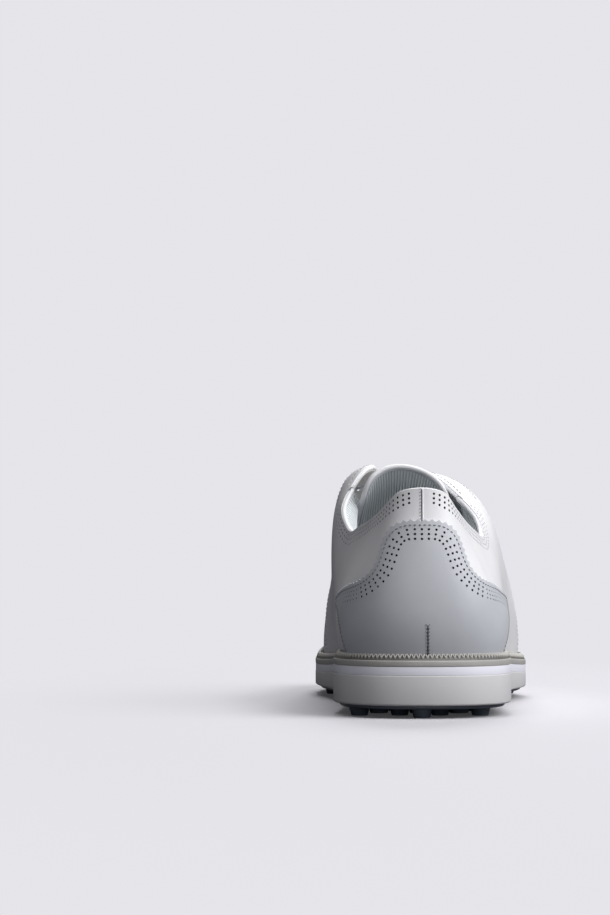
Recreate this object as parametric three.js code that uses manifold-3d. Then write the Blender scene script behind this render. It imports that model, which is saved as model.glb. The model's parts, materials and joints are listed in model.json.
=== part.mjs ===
// A brogued, spikeless golf shoe for the right foot, built the way a shoe is: a welted sole unit, an upper of
// leather panels over linings and stiffeners, a hinged padded tongue and a footbed that lifts out.
// Millimetres. +Y points to the toe, +X to the outer (lateral) side of the foot, +Z up.
import * as THREE from 'three';
import { mergeVertices } from 'three/addons/utils/BufferGeometryUtils.js';
import Module from 'manifold-3d';

const wasm = await Module();
wasm.setup();

// ---------------------------------------------------------------- driving dimensions

// Last (the foot-shaped form that the upper is pulled over)
const LAST_LENGTH = 295;        // heel to toe along the feather line
const LAST_BALL_WIDTH = 103.3;  // feather line, across the ball of the foot
const COLLAR_HEIGHT = 77.3;     // top of the back seam above the welt

// Sole unit
const TOE_SPRING = 9;           // rise of the sole under the toe
const TOE_SPRING_START = 215;   // where the sole leaves the ground
const LUG_HEIGHT = 4.2;
const LUG_ROOT_RADIUS = 5;
const LUG_TIP_RADIUS = 3.6;
const LUG_PITCH_ACROSS = 18.5;
const LUG_PITCH_ALONG = 17;
const LUG_EDGE_MARGIN = 6.5;    // lug centre to the edge of the outsole plate
const LUG_ROOT_DEPTH = 0.7;     // how far a lug runs into the plate that it is moulded with
const OUTSOLE_PLATE = 1.4;
const OUTSOLE_INSET = 3;        // plate edge inside the midsole wall
const MIDSOLE_HEEL = 13.8;
const MIDSOLE_BALL = 7.8;
const HEEL_END = 60;            // the midsole starts to thin here
const BALL_START = 190;         // and is at its ball thickness from here
const STRIPE = 3.1;
const WELT = 3;
const WELT_REACH = 4.5;         // welt beyond the feather line
const WELT_SEAT = 6;            // welt under the insole board
const SHANK_WIDTH = 12;
const SHANK_THICKNESS = 1;
const SHANK_START = 72;
const SHANK_END = 160;
const INSOLE_BOARD = 2;
const FOOTBED = 4.5;
const FOOTBED_CLEARANCE = 1.2;  // so that the footbed lifts past the lining

// Upper
const LEATHER = 1.4;
const OVERLAY = 1.2;
const STIFFENER = 1.2;
const LINING = 1.2;
const COUNTER_TOP = 0.815;      // height of the counter's dome, as a share of the back seam
const COUNTER_WING = 0.54;      // height of its wings, as a share of the quarter
const STIFFENER_FRONT = 4.6;    // heel stiffener's front ends, in stations
const STIFFENER_TOP = 0.68;     // and its top, in rise
const COLLAR_FOAM_FRONT = 6.2;
const COLLAR_FOAM_BOTTOM = 0.72;
const COLLAR_FOAM_TOP = 0.95;
const THROAT_GAP_TOP = 12;      // half the gap between the facings at the collar
const THROAT_GAP_TOE = 6;       // and at the throat
const FACING_WIDTH = 15;
const EYELETS = 5;
const EYELET_HOLE = 1.9;        // radius that the lace runs through
const EYELET_WALL = 0.5;
const EYELET_EDGE = 8;          // eyelet centre to the facing's edge
const EYELET_SIDES = 10;

// Tongue
const TONGUE_HALF_WIDTH = 23.5;
const TONGUE_CORNER = 16;
const TONGUE_LEATHER = 1.2;
const TONGUE_FOAM = 3;
const TONGUE_LINING = 1;
const TONGUE_ARCH_TOP = 22.5;   // radius of the arch over the instep
const TONGUE_ARCH_BASE = 38;

const GAP = 0.3;                // between pieces that touch
const PLY_GAP = 0.5;            // between the plies of the upper, which are curved

// ---------------------------------------------------------------- last

// Each row is one station from the heel (0) to the toe (15): the feather line (x, y), the top line (x, y, height
// above the welt) and how far the wall swells out between them. From station 9 on, the top line is the ridge of the
// instep.
const LATERAL = [
  [0, 4, 0, 7, 77.3, 5],
  [21.5, 8.5, 10.5, 10, 75.5, 5.5],
  [34.5, 22, 16.5, 20, 69, 6],
  [39, 42, 22, 36, 63.5, 6.5],
  [40, 62, 28.5, 56, 59, 6.5],
  [40, 82, 33.5, 75, 57, 6],
  [40.5, 100, 32, 90, 67, 6.5],
  [43, 118, 25.5, 98, 75.5, 7],
  [49, 142, 12, 109, 88, 6.5],
  [57, 168, -4, 120, 90.5, 4],
  [61, 192, -5, 150, 72, 3],
  [58, 220, -6, 185, 53, 2.5],
  [49.5, 248, -7, 215, 41, 2],
  [36, 272, -8, 242, 33, 1.5],
  [16, 292, -9, 262, 27.5, 1],
  [-9, 299, -9, 272, 24, 1],
];
const MEDIAL = [
  LATERAL[0],
  [-20, 8.5, -10.5, 10, 75.5, 5.5],
  [-31.5, 22, -17, 20, 69, 6],
  [-35, 42, -22.5, 36, 64, 6],
  [-33.5, 62, -27.5, 56, 61, 6.5],
  [-31.5, 82, -31.5, 76, 59.5, 7],
  [-30.5, 100, -35, 90, 70, 7.5],
  [-30.5, 118, -31.5, 98, 79.5, 8.5],
  [-33, 142, -21, 107, 93, 9],
  [-37.5, 168, -4, 120, 90.5, 6],
  [-42, 196, -5, 150, 72, 2],
  [-42.3, 222, -6, 185, 53, 1.5],
  [-40.5, 248, -7, 215, 41, 1.5],
  [-35, 272, -8, 242, 33, 1.5],
  [-25, 291, -9, 262, 27.5, 1],
  LATERAL[15],
];
const TOE = LATERAL.length - 1;
const BAR_TACK = 7;             // station where the collar meets the facing
const FACING_TOP = 8;           // station of the facing's upper corner
const FIRST_EYELET = 8.55;
const RIDGE_START = 9;
const THROAT = 11.5;            // station where the vamp starts on the ridge
const VAMP_SIDE = 9.8;          // station where the vamp starts at the welt
const LINING_SPLIT = 10;        // station where the quarter lining meets the vamp lining
const BUTT = 0.025;             // half a butt joint's gap, in stations of about 25 mm

// The tongue's crest, from its free end to its root: x, y and height above the welt.
const TONGUE_CREST = [
  [-4, 100, 92.5],
  [-4.5, 120, 83.5],
  [-5, 150, 65],
  [-6, 185, 47.5],
  [-6.6, 208, 41.5],
];

// The table above is drawn for a last of this size.
const DRAWN_LENGTH = 295;
const DRAWN_WIDTH = 103.3;
const DRAWN_HEIGHT = 77.3;
const DRAWN_TONGUE = 23.5;
const LINING_CLEARANCE = 0.02;  // in rise
const SLOT_DROP = 0.02;         // slot depth in rise, for each millimetre of the tongue's half width
const scaleX = LAST_BALL_WIDTH / DRAWN_WIDTH;
const scaleY = LAST_LENGTH / DRAWN_LENGTH;
const scaleZ = COLLAR_HEIGHT / DRAWN_HEIGHT;

// Grid lines along a curved piece: more on a longer last, so that neighbouring skins keep their gap.
const lines = (count) => Math.max(count, Math.ceil(count * scaleY));

const mix = THREE.MathUtils.lerp;
const ease = THREE.MathUtils.smoothstep;

function loopThrough(pick) {
  const stations = [...LATERAL, ...MEDIAL.slice(1, TOE).reverse()];
  return new THREE.CatmullRomCurve3(stations.map(pick), true, 'centripetal');
}

const featherLine = loopThrough((row) => new THREE.Vector3(row[0] * scaleX, row[1] * scaleY, row[5]));
const topLine = loopThrough((row) => new THREE.Vector3(row[2] * scaleX, row[3] * scaleY, row[4] * scaleZ));

// Stations run from the heel to the toe on the lateral side, and are negative on the medial side.
function at(line, station) {
  const turn = station / (2 * TOE);
  return line.getPoint(turn - Math.floor(turn));
}

// ---------------------------------------------------------------- heights of the sole layers

function groundRise(y) {
  const start = TOE_SPRING_START * scaleY;
  const run = LAST_LENGTH + WELT_REACH - start;
  return TOE_SPRING * Math.max(0, (y - start) / run) ** 2;
}

const plateBottom = (y) => groundRise(y) + LUG_HEIGHT;
const plateTop = (y) => plateBottom(y) + OUTSOLE_PLATE;
const midsoleBottom = (y) => plateTop(y) + GAP;
const midsoleTop = (y) => midsoleBottom(y)
  + mix(MIDSOLE_HEEL, MIDSOLE_BALL, ease(y, HEEL_END * scaleY, BALL_START * scaleY));
const stripeBottom = (y) => midsoleTop(y) + GAP;
const stripeTop = (y) => stripeBottom(y) + STRIPE;
const weltBottom = (y) => stripeTop(y) + GAP;
const weltTop = (y) => weltBottom(y) + WELT;
const boardBottom = (y) => weltTop(y) + GAP;
const boardTop = (y) => boardBottom(y) + INSOLE_BOARD;
const footbedBottom = (y) => boardTop(y) + GAP;
const footbedTop = (y) => footbedBottom(y) + FOOTBED;
const seatHeight = weltTop(0);

// ---------------------------------------------------------------- surface of the last

const STEP_ALONG = 0.02;
const STEP_UP = 0.01;

function outward(station) {
  const ahead = at(featherLine, station + STEP_ALONG);
  const behind = at(featherLine, station - STEP_ALONG);
  return new THREE.Vector3(ahead.y - behind.y, behind.x - ahead.x, 0).normalize();
}

// The feather line moved outward by reach, in plan.
function outline(station, reach) {
  const point = at(featherLine, station);
  return point.setZ(0).addScaledVector(outward(station), reach);
}

// A point of the upper's outer face: rise is 0 at the welt and 1 at the top line.
function wall(station, rise) {
  const foot = at(featherLine, station);
  const top = at(topLine, station);
  const round = ease(Math.abs(station), 3, 8);
  const low = 6.75 * rise * (1 - rise) ** 2;
  const even = 4 * rise * (1 - rise);
  const swell = foot.z * mix(low, even, round);
  const angle = rise * Math.PI / 2;
  const inwards = mix(rise, 1 - Math.cos(angle), round);
  const upwards = mix(rise, Math.sin(angle), round);
  const footHeight = weltTop(foot.y) + GAP;
  const point = new THREE.Vector3(mix(foot.x, top.x, inwards), mix(foot.y, top.y, inwards), 0);
  point.addScaledVector(outward(station), swell);
  return point.setZ(mix(footHeight, seatHeight + top.z, upwards));
}

function wallNormal(station, rise) {
  const above = Math.min(rise + STEP_UP, 1);
  const below = Math.max(rise - STEP_UP, 0);
  const along = wall(station + STEP_ALONG, rise).sub(wall(station - STEP_ALONG, rise));
  const up = wall(station, above).sub(wall(station, below));
  return along.cross(up).normalize();
}

// On the ridge both sides share one normal, taken a little behind the toe where the ridge ends.
function ridgeNormal(station) {
  const near = Math.min(Math.abs(station), TOE - 0.5);
  return wallNormal(near, 1).add(wallNormal(-near, 1)).normalize();
}

// A point of the upper, depth millimetres outside (positive) or inside (negative) its outer face.
function layer(station, rise, depth) {
  const onRidge = rise > 0.999 && Math.abs(station) > RIDGE_START;
  const normal = onRidge ? ridgeNormal(station) : wallNormal(station, rise);
  return wall(station, rise).addScaledVector(normal, depth);
}

// ---------------------------------------------------------------- closed meshes

function closedGeometry(points, triangles) {
  const geometry = new THREE.BufferGeometry();
  geometry.setAttribute('position', new THREE.Float32BufferAttribute(points.flatMap((p) => [p.x, p.y, p.z]), 3));
  geometry.setIndex(triangles.flat());
  const merged = mergeVertices(geometry, 1e-3);
  const index = merged.getIndex().array;
  const kept = [];
  for (let i = 0; i < index.length; i += 3) {
    const [a, b, c] = index.slice(i, i + 3);
    if (a !== b && b !== c && c !== a) kept.push(a, b, c);
  }
  merged.setIndex(kept);
  return facingOut(merged);
}

function facingOut(geometry) {
  const index = geometry.getIndex().array;
  const corner = (i) => new THREE.Vector3().fromBufferAttribute(geometry.getAttribute('position'), index[i]);
  let volume = 0;
  for (let i = 0; i < index.length; i += 3) {
    volume += corner(i).dot(corner(i + 1).cross(corner(i + 2)));
  }
  if (volume < 0) geometry.setIndex([...index].reverse());
  return geometry;
}

// A skin between two depths. place(a, b, depth) gives a point for a and b from 0 to 1. With closedEnd the row b = 1
// folds onto itself, as the toe does, and needs no edge wall.
function skin(place, across, along, outer, inner, closedEnd = false) {
  const points = [];
  const triangles = [];
  const id = (side, i, j) => side * (across + 1) * (along + 1) + i * (along + 1) + j;
  const quad = (a, b, c, d) => triangles.push([a, b, c], [a, c, d]);
  for (const depth of [outer, inner]) {
    for (let i = 0; i <= across; i += 1) {
      for (let j = 0; j <= along; j += 1) points.push(place(i / across, j / along, depth));
    }
  }
  for (let i = 0; i < across; i += 1) {
    for (let j = 0; j < along; j += 1) {
      quad(id(0, i, j), id(0, i + 1, j), id(0, i + 1, j + 1), id(0, i, j + 1));
      quad(id(1, i, j), id(1, i, j + 1), id(1, i + 1, j + 1), id(1, i + 1, j));
    }
    quad(id(0, i, 0), id(1, i, 0), id(1, i + 1, 0), id(0, i + 1, 0));
    if (!closedEnd) quad(id(0, i, along), id(0, i + 1, along), id(1, i + 1, along), id(1, i, along));
  }
  for (let j = 0; j < along; j += 1) {
    quad(id(0, 0, j), id(0, 0, j + 1), id(1, 0, j + 1), id(1, 0, j));
    quad(id(0, across, j), id(1, across, j), id(1, across, j + 1), id(0, across, j + 1));
  }
  return closedGeometry(points, triangles);
}

// A sole layer that fills the outline at this reach, between two heights.
function slab(reach, bottom, top, rows = 40) {
  const place = (a, b, height) => {
    const station = TOE * (1 - Math.cos(Math.PI * b)) / 2;
    const point = outline(a < 0.5 ? -station : station, reach);
    return point.setZ(height(point.y));
  };
  return skin(place, 1, rows, top, bottom);
}

// A ring that follows the outline between two reaches and two heights.
function ring(outerReach, innerReach, bottom, top, steps = 72) {
  const corners = [[outerReach, bottom], [outerReach, top], [innerReach, top], [innerReach, bottom]];
  const points = [];
  const triangles = [];
  for (let i = 0; i < steps; i += 1) {
    for (const [reach, height] of corners) {
      const point = outline(i / steps * 2 * TOE, reach);
      points.push(point.setZ(height(point.y)));
    }
    for (let k = 0; k < 4; k += 1) {
      const next = (k + 1) % 4;
      const ahead = (i + 1) % steps;
      triangles.push([i * 4 + k, ahead * 4 + k, ahead * 4 + next], [i * 4 + k, ahead * 4 + next, i * 4 + next]);
    }
  }
  return closedGeometry(points, triangles);
}

function toSolid(geometry) {
  const bare = geometry.clone();
  bare.deleteAttribute('normal');
  bare.deleteAttribute('uv');
  const merged = mergeVertices(bare, 1e-4);
  return new wasm.Manifold(new wasm.Mesh({
    numProp: 3,
    vertProperties: merged.getAttribute('position').array,
    triVerts: new Uint32Array(merged.getIndex().array),
  }));
}

function toGeometry(solid) {
  const mesh = solid.getMesh();
  const geometry = new THREE.BufferGeometry();
  geometry.setAttribute('position', new THREE.BufferAttribute(mesh.vertProperties, 3));
  geometry.setIndex(new THREE.BufferAttribute(mesh.triVerts, 1));
  return geometry;
}

// ---------------------------------------------------------------- sole unit

function lugPlaces() {
  const border = [];
  const borderReach = WELT_REACH - OUTSOLE_INSET - LUG_EDGE_MARGIN;
  for (let i = 0; i < 120; i += 1) border.push(outline(i / 120 * 2 * TOE, borderReach));
  const inside = (x, y) => border.reduce((odd, p, i) => {
    const q = border[(i + 1) % border.length];
    const crosses = (p.y > y) !== (q.y > y) && x < mix(p.x, q.x, (y - p.y) / (q.y - p.y));
    return crosses ? !odd : odd;
  }, false);
  const places = [];
  const rows = Math.floor(LAST_LENGTH / LUG_PITCH_ALONG);
  for (let row = 0; row <= rows; row += 1) {
    for (let column = -4; column <= 4; column += 1) {
      const x = (column + (row % 2) / 2) * LUG_PITCH_ACROSS;
      const y = WELT_REACH + 5 + row * LUG_PITCH_ALONG;
      if (inside(x, y)) places.push([x, y]);
    }
  }
  return places;
}

function lug(x, y) {
  const height = LUG_HEIGHT + LUG_ROOT_DEPTH;
  const cone = new THREE.CylinderGeometry(LUG_ROOT_RADIUS, LUG_TIP_RADIUS, height, 8);
  cone.rotateX(Math.PI / 2);
  cone.translate(x, y, height / 2);
  const position = cone.getAttribute('position');
  for (let i = 0; i < position.count; i += 1) position.setZ(i, position.getZ(i) + groundRise(position.getY(i)));
  return toSolid(cone);
}

function outsole() {
  let solid = toSolid(slab(WELT_REACH - OUTSOLE_INSET, plateBottom, plateTop));
  for (const [x, y] of lugPlaces()) solid = solid.add(lug(x, y));
  return toGeometry(solid);
}

function shankStrip(clearance) {
  const half = SHANK_WIDTH / 2 + clearance;
  const start = SHANK_START * scaleY - clearance;
  const end = SHANK_END * scaleY + clearance;
  const place = (a, b, lift) => {
    const y = mix(start, end, b);
    return new THREE.Vector3(mix(-half, half, a), y, weltTop(y) + lift);
  };
  return skin(place, 1, 10, clearance, -SHANK_THICKNESS - clearance);
}

function bottomFiller() {
  const whole = toSolid(slab(-WELT_SEAT - 2 * GAP, weltBottom, weltTop));
  return toGeometry(whole.subtract(toSolid(shankStrip(GAP))));
}

const facingLiningDepth = -LEATHER - 3 * PLY_GAP - GAP;
const holeRadius = EYELET_HOLE + EYELET_WALL + GAP;
const eyeletLength = LINING - facingLiningDepth;
const innerFace = LEATHER + PLY_GAP + STIFFENER + PLY_GAP + LINING;
const boardReach = -innerFace - 2 * PLY_GAP;
const footbedReach = boardReach - FOOTBED_CLEARANCE;

// ---------------------------------------------------------------- upper panels

// Rise at which the wall is a given distance from the ridge.
function riseAtDistance(station, distance) {
  const span = at(topLine, station).setZ(0).distanceTo(at(featherLine, station).setZ(0));
  return Math.acos(Math.min(distance / span, 1)) * 2 / Math.PI;
}

function throatGap(station) {
  return mix(THROAT_GAP_TOP, THROAT_GAP_TOE, ease(Math.abs(station), FACING_TOP, THROAT));
}

// The facing's inner edge, and the line where its lining ends further down.
function facingEdge(station) {
  const open = riseAtDistance(station, throatGap(station));
  return mix(1, open, ease(Math.abs(station), FACING_TOP, RIDGE_START));
}

function facingBase(station) {
  const open = riseAtDistance(station, throatGap(station) + FACING_WIDTH);
  return mix(0.8, open, ease(Math.abs(station), FACING_TOP, RIDGE_START));
}

// Station where the quarter ends and the vamp starts, by height.
const vampEdge = (rise) => mix(VAMP_SIDE, THROAT, rise ** 1.5);

function quarter(side) {
  const place = (a, b, depth) => {
    const last = vampEdge(b * facingEdge(side * vampEdge(b))) - BUTT;
    const station = side * mix(BUTT / 2, last, a);
    return layer(station, b * facingEdge(station), depth);
  };
  return skin(place, lines(34), 6, 0, -LEATHER);
}

// A piece that runs round the toe from its own start line, across the ridge.
function toePiece(start, bottom, columns, rows, outer, inner) {
  const place = (a, b, depth) => {
    const side = a < 0.5 ? -1 : 1;
    const rise = mix(1, bottom, Math.abs(2 * a - 1));
    return layer(side * mix(start(rise), TOE, b), rise, depth);
  };
  return skin(place, columns, lines(rows), outer, inner, true);
}

// A piece that runs round the heel, up to a top edge and forward to a front edge.
function heelPiece(front, bottom, top, columns, rows, outer, inner) {
  const place = (a, b, depth) => {
    const station = (2 * a - 1) * front(b);
    return layer(station, mix(bottom, top(station), b), depth);
  };
  return skin(place, lines(columns), rows, outer, inner);
}

function counterTop(station) {
  const away = ease(Math.abs(station), 0.85, 1.6);
  return mix(COUNTER_TOP, COUNTER_WING, away);
}

const counterFront = (b) => 3.4 + 1.75 * b ** 0.8;
const toeCapStart = (rise) => 12 + 1.5 * rise;
const toePuffStart = (rise) => 12.4 + 1.3 * rise;

// The vamp lining starts further forward above this rise, to clear the tongue; a wider tongue comes down lower.
const tongueSlot = 0.4 - (TONGUE_HALF_WIDTH - DRAWN_TONGUE) * SLOT_DROP;
const vampLiningStart = (rise) => mix(LINING_SPLIT + BUTT, THROAT + 0.5, ease(rise, tongueSlot, tongueSlot + 0.1));

// The quarter lining ends under the facing lining, and below the eyelets. The clearance is a share of the wall, so
// it grows on a narrower last.
function liningTop(station) {
  const under = facingBase(station) - LINING_CLEARANCE / scaleX;
  return mix(1, under, ease(Math.abs(station), BAR_TACK - 0.4, BAR_TACK + 0.2));
}

function facingLining(side) {
  const place = (a, b, depth) => {
    const station = side * mix(BAR_TACK + 0.25, THROAT - 0.15, a);
    return layer(station, mix(facingBase(station), facingEdge(station), b), depth);
  };
  return skin(place, 14, 3, facingLiningDepth, facingLiningDepth - LINING);
}

// ---------------------------------------------------------------- eyelets

function eyeletFrames(side) {
  const frames = [];
  for (let i = 0; i < EYELETS; i += 1) {
    const station = side * mix(FIRST_EYELET, THROAT - 0.8, i / (EYELETS - 1));
    const rise = riseAtDistance(station, throatGap(station) + EYELET_EDGE);
    const centre = layer(station, rise, -eyeletLength / 2);
    const turn = new THREE.Quaternion().setFromUnitVectors(new THREE.Vector3(0, 1, 0), wallNormal(station, rise));
    frames.push({ centre, turn });
  }
  return frames;
}

function eyelet() {
  const outer = EYELET_HOLE + EYELET_WALL;
  const half = eyeletLength / 2;
  const profile = [[EYELET_HOLE, -half], [outer, -half], [outer, half], [EYELET_HOLE, half], [EYELET_HOLE, -half]];
  return closedFrom(new THREE.LatheGeometry(profile.map(([r, h]) => new THREE.Vector2(r, h)), EYELET_SIDES));
}

function closedFrom(geometry) {
  geometry.deleteAttribute('normal');
  geometry.deleteAttribute('uv');
  return facingOut(mergeVertices(geometry, 1e-4));
}

function punch(geometry, side) {
  let solid = toSolid(geometry);
  for (const { centre, turn } of eyeletFrames(side)) {
    const pin = new THREE.CylinderGeometry(holeRadius, holeRadius, 12, EYELET_SIDES);
    pin.applyQuaternion(turn);
    pin.translate(centre.x, centre.y, centre.z);
    solid = solid.subtract(toSolid(pin));
  }
  return toGeometry(solid);
}

// ---------------------------------------------------------------- tongue

const crest = new THREE.CatmullRomCurve3(
  TONGUE_CREST.map(([x, y, z]) => new THREE.Vector3(x * scaleX, y * scaleY, seatHeight + z * scaleZ)),
);
const tongueThickness = TONGUE_LEATHER + GAP + TONGUE_FOAM + GAP + TONGUE_LINING;
const BINDING_RADIUS = tongueThickness / 2;
const tongueLength = crest.getLength();

// A point of the tongue: across is measured round the arch, down along the crest from the free end. A narrower last
// takes a narrower tongue.
function tonguePoint(across, down, depth) {
  const share = down / tongueLength;
  const middle = crest.getPointAt(THREE.MathUtils.clamp(share, 0, 1));
  const slope = crest.getTangentAt(THREE.MathUtils.clamp(share, 0, 1));
  if (share < 0) middle.addScaledVector(slope, down);
  const drawnRadius = mix(TONGUE_ARCH_TOP, TONGUE_ARCH_BASE, THREE.MathUtils.clamp(share, 0, 1));
  const radius = drawnRadius * scaleX;
  const up = new THREE.Vector3(0, -slope.z, slope.y).normalize();
  const angle = across / drawnRadius;
  middle.addScaledVector(up, (radius + depth) * Math.cos(angle) - radius);
  middle.x += (radius + depth) * Math.sin(angle);
  return middle;
}

function tongueSkin(outer, inner) {
  const place = (a, b, depth) => {
    const across = mix(-TONGUE_HALF_WIDTH, TONGUE_HALF_WIDTH, a);
    const over = Math.max(0, Math.abs(across) - TONGUE_HALF_WIDTH + TONGUE_CORNER);
    const start = TONGUE_CORNER - Math.sqrt(TONGUE_CORNER ** 2 - over ** 2);
    return tonguePoint(across, mix(start, tongueLength, b), depth);
  };
  return skin(place, 16, 10, outer, inner);
}

function tongueBinding() {
  const reach = BINDING_RADIUS + 2 * GAP;
  const sideReach = reach / scaleX;
  const side = TONGUE_HALF_WIDTH + sideReach;
  const straight = TONGUE_HALF_WIDTH - TONGUE_CORNER;
  const route = [];
  for (let i = 6; i > 0; i -= 1) route.push([-side, mix(TONGUE_CORNER, tongueLength * 0.8, i / 6)]);
  for (let i = 0; i <= 6; i += 1) {
    const angle = Math.PI / 2 * i / 6;
    const across = straight + (TONGUE_CORNER + sideReach) * Math.cos(angle);
    route.push([-across, TONGUE_CORNER - (TONGUE_CORNER + reach) * Math.sin(angle)]);
  }
  const mirrored = route.map(([across, down]) => [-across, down]).reverse();
  const points = [...route, ...mirrored].map(([across, down]) => tonguePoint(across, down, -tongueThickness / 2));
  const path = new THREE.CatmullRomCurve3(points, false, 'centripetal');
  const section = new THREE.Shape();
  section.absarc(0, 0, BINDING_RADIUS, 0, 2 * Math.PI);
  const sweep = { steps: 44, curveSegments: 4, extrudePath: path, bevelEnabled: false };
  return closedFrom(new THREE.ExtrudeGeometry(section, sweep));
}

// ---------------------------------------------------------------- assembly

const finish = (color, roughness, metalness = 0) => ({ color, roughness, metalness });
const whiteLeather = finish(0xe9e9ec, 0.5);
const greyLeather = finish(0xb4b7bb, 0.55);
const beigeLeather = finish(0xa9a59d, 0.6);
const mesh = finish(0xc9d2d6, 0.9);
const foam = finish(0xe6dfc8, 0.95);
const board = finish(0xb59a72, 0.9);
const steel = finish(0x9a9ea3, 0.35, 1);

const shoe = new THREE.Group();

function add(name, geometry, look) {
  const piece = new THREE.Mesh(geometry, new THREE.MeshStandardMaterial(look));
  piece.name = name;
  shoe.add(piece);
  return piece;
}

function addSole() {
  add('outsole', outsole(), finish(0x1e232a, 0.45));
  add('midsole', slab(WELT_REACH, midsoleBottom, midsoleTop), finish(0xc8c7c9, 0.6));
  add('midsole_stripe', slab(WELT_REACH, stripeBottom, stripeTop), finish(0xf0f0f4, 0.5));
  add('welt', ring(WELT_REACH, -WELT_SEAT, weltBottom, weltTop), beigeLeather);
  add('bottom_filler', bottomFiller(), foam);
  add('shank', shankStrip(0), steel);
  add('insole_board', slab(boardReach, boardBottom, boardTop), board);
  add('footbed', slab(footbedReach, footbedBottom, footbedTop), mesh);
}

function addUpper() {
  const stiffenerDepth = -LEATHER - PLY_GAP;
  const liningDepth = stiffenerDepth - STIFFENER - PLY_GAP;
  add('quarter_lateral', punch(quarter(1), 1), whiteLeather);
  add('quarter_medial', punch(quarter(-1), -1), whiteLeather);
  add('vamp', toePiece((rise) => vampEdge(rise) + BUTT, 0, 16, 12, 0, -LEATHER), whiteLeather);
  add('toe_cap', toePiece(toeCapStart, 0.06, 16, 8, PLY_GAP + OVERLAY, PLY_GAP), greyLeather);
  add('heel_counter', heelPiece(counterFront, 0.03, counterTop, 32, 6, GAP + 0.1 + OVERLAY, GAP + 0.1), greyLeather);
  add('heel_stiffener', heelPiece(() => STIFFENER_FRONT, 0.04, () => STIFFENER_TOP, 22, 4, stiffenerDepth,
    stiffenerDepth - STIFFENER), board);
  add('collar_foam', heelPiece(() => COLLAR_FOAM_FRONT, COLLAR_FOAM_BOTTOM, () => COLLAR_FOAM_TOP, 22, 2,
    stiffenerDepth, stiffenerDepth - STIFFENER), foam);
  add('toe_puff', toePiece(toePuffStart, 0.1, 16, 5, stiffenerDepth, stiffenerDepth - STIFFENER), board);
  add('quarter_lining', heelPiece(() => LINING_SPLIT - BUTT, 0.03, liningTop, 44, 6, liningDepth,
    liningDepth - LINING), mesh);
  add('vamp_lining', toePiece(vampLiningStart, 0.06, 16, 8, liningDepth, liningDepth - LINING), mesh);
  add('facing_lining_lateral', punch(facingLining(1), 1), beigeLeather);
  add('facing_lining_medial', punch(facingLining(-1), -1), beigeLeather);
}

function addEyelets() {
  for (const [side, label] of [[1, 'lateral'], [-1, 'medial']]) {
    eyeletFrames(side).forEach(({ centre, turn }, i) => {
      const piece = add(`eyelet_${label}_${i + 1}`, eyelet(), steel);
      piece.position.copy(centre);
      piece.quaternion.copy(turn);
    });
  }
}

function addTongue() {
  const foamDepth = -TONGUE_LEATHER - GAP;
  const liningDepth = foamDepth - TONGUE_FOAM - GAP;
  add('tongue_leather', tongueSkin(0, -TONGUE_LEATHER), whiteLeather);
  add('tongue_foam', tongueSkin(foamDepth, foamDepth - TONGUE_FOAM), foam);
  add('tongue_lining', tongueSkin(liningDepth, liningDepth - TONGUE_LINING), mesh);
  add('tongue_binding', tongueBinding(), whiteLeather);
}

addSole();
addUpper();
addEyelets();
addTongue();

// The origin is the middle of the shoe's box, on the ground.
const box = new THREE.Box3().setFromObject(shoe);
const middle = box.getCenter(new THREE.Vector3());
shoe.position.set(-middle.x, -middle.y, -box.min.z);
shoe.updateMatrixWorld(true);

export default shoe;
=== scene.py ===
import bpy
import json
import math
import numpy as np
from mathutils.geometry import delaunay_2d_cdt
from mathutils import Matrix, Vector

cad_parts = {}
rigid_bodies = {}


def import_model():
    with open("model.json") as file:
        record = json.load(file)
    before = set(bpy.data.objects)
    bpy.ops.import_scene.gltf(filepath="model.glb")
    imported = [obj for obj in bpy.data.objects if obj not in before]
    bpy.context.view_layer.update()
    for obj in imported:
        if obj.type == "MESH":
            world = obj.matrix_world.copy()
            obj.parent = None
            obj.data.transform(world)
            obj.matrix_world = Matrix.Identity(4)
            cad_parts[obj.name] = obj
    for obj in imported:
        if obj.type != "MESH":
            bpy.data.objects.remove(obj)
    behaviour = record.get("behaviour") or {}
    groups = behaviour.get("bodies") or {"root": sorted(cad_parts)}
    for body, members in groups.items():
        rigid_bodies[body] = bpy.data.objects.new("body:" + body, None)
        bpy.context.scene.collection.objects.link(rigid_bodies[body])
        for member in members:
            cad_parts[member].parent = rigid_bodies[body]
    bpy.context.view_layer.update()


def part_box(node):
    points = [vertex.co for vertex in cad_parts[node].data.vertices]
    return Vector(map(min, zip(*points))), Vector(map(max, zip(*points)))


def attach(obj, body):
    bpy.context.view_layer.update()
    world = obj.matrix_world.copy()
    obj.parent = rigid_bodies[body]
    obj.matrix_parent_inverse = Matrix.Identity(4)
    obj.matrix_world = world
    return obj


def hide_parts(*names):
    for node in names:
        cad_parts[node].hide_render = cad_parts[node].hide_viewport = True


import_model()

bpy.ops.object.select_all(action="DESELECT")
mm = 0.001

# ---- Camera
# The shoe is seen from straight behind, a little above the ground and from just under a metre away, from the inner
# side of its heel, as one shoe of a pair is.
sole_low, sole_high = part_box("midsole")
camera = bpy.data.objects.new("camera", bpy.data.cameras.new("camera"))
bpy.context.scene.collection.objects.link(camera)
camera.data.sensor_width = 36
camera.data.lens = 84.65
camera.data.clip_end = 50
camera.location = ((sole_low[0] + sole_high[0]) / 2 - 62.0 * mm, sole_low[1] - 966.5 * mm, 62.7 * mm)
camera.rotation_euler = (math.radians(90 + 3.23), 0, 0)
bpy.context.scene.camera = camera

# ---- Floor and air
# A pale seamless floor and pale air of one tone. They look evenly lit, and give little light back to the shoe, so
# that its shaded side stays dark.
AIR = (0.787, 0.781, 0.823, 1)

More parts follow.
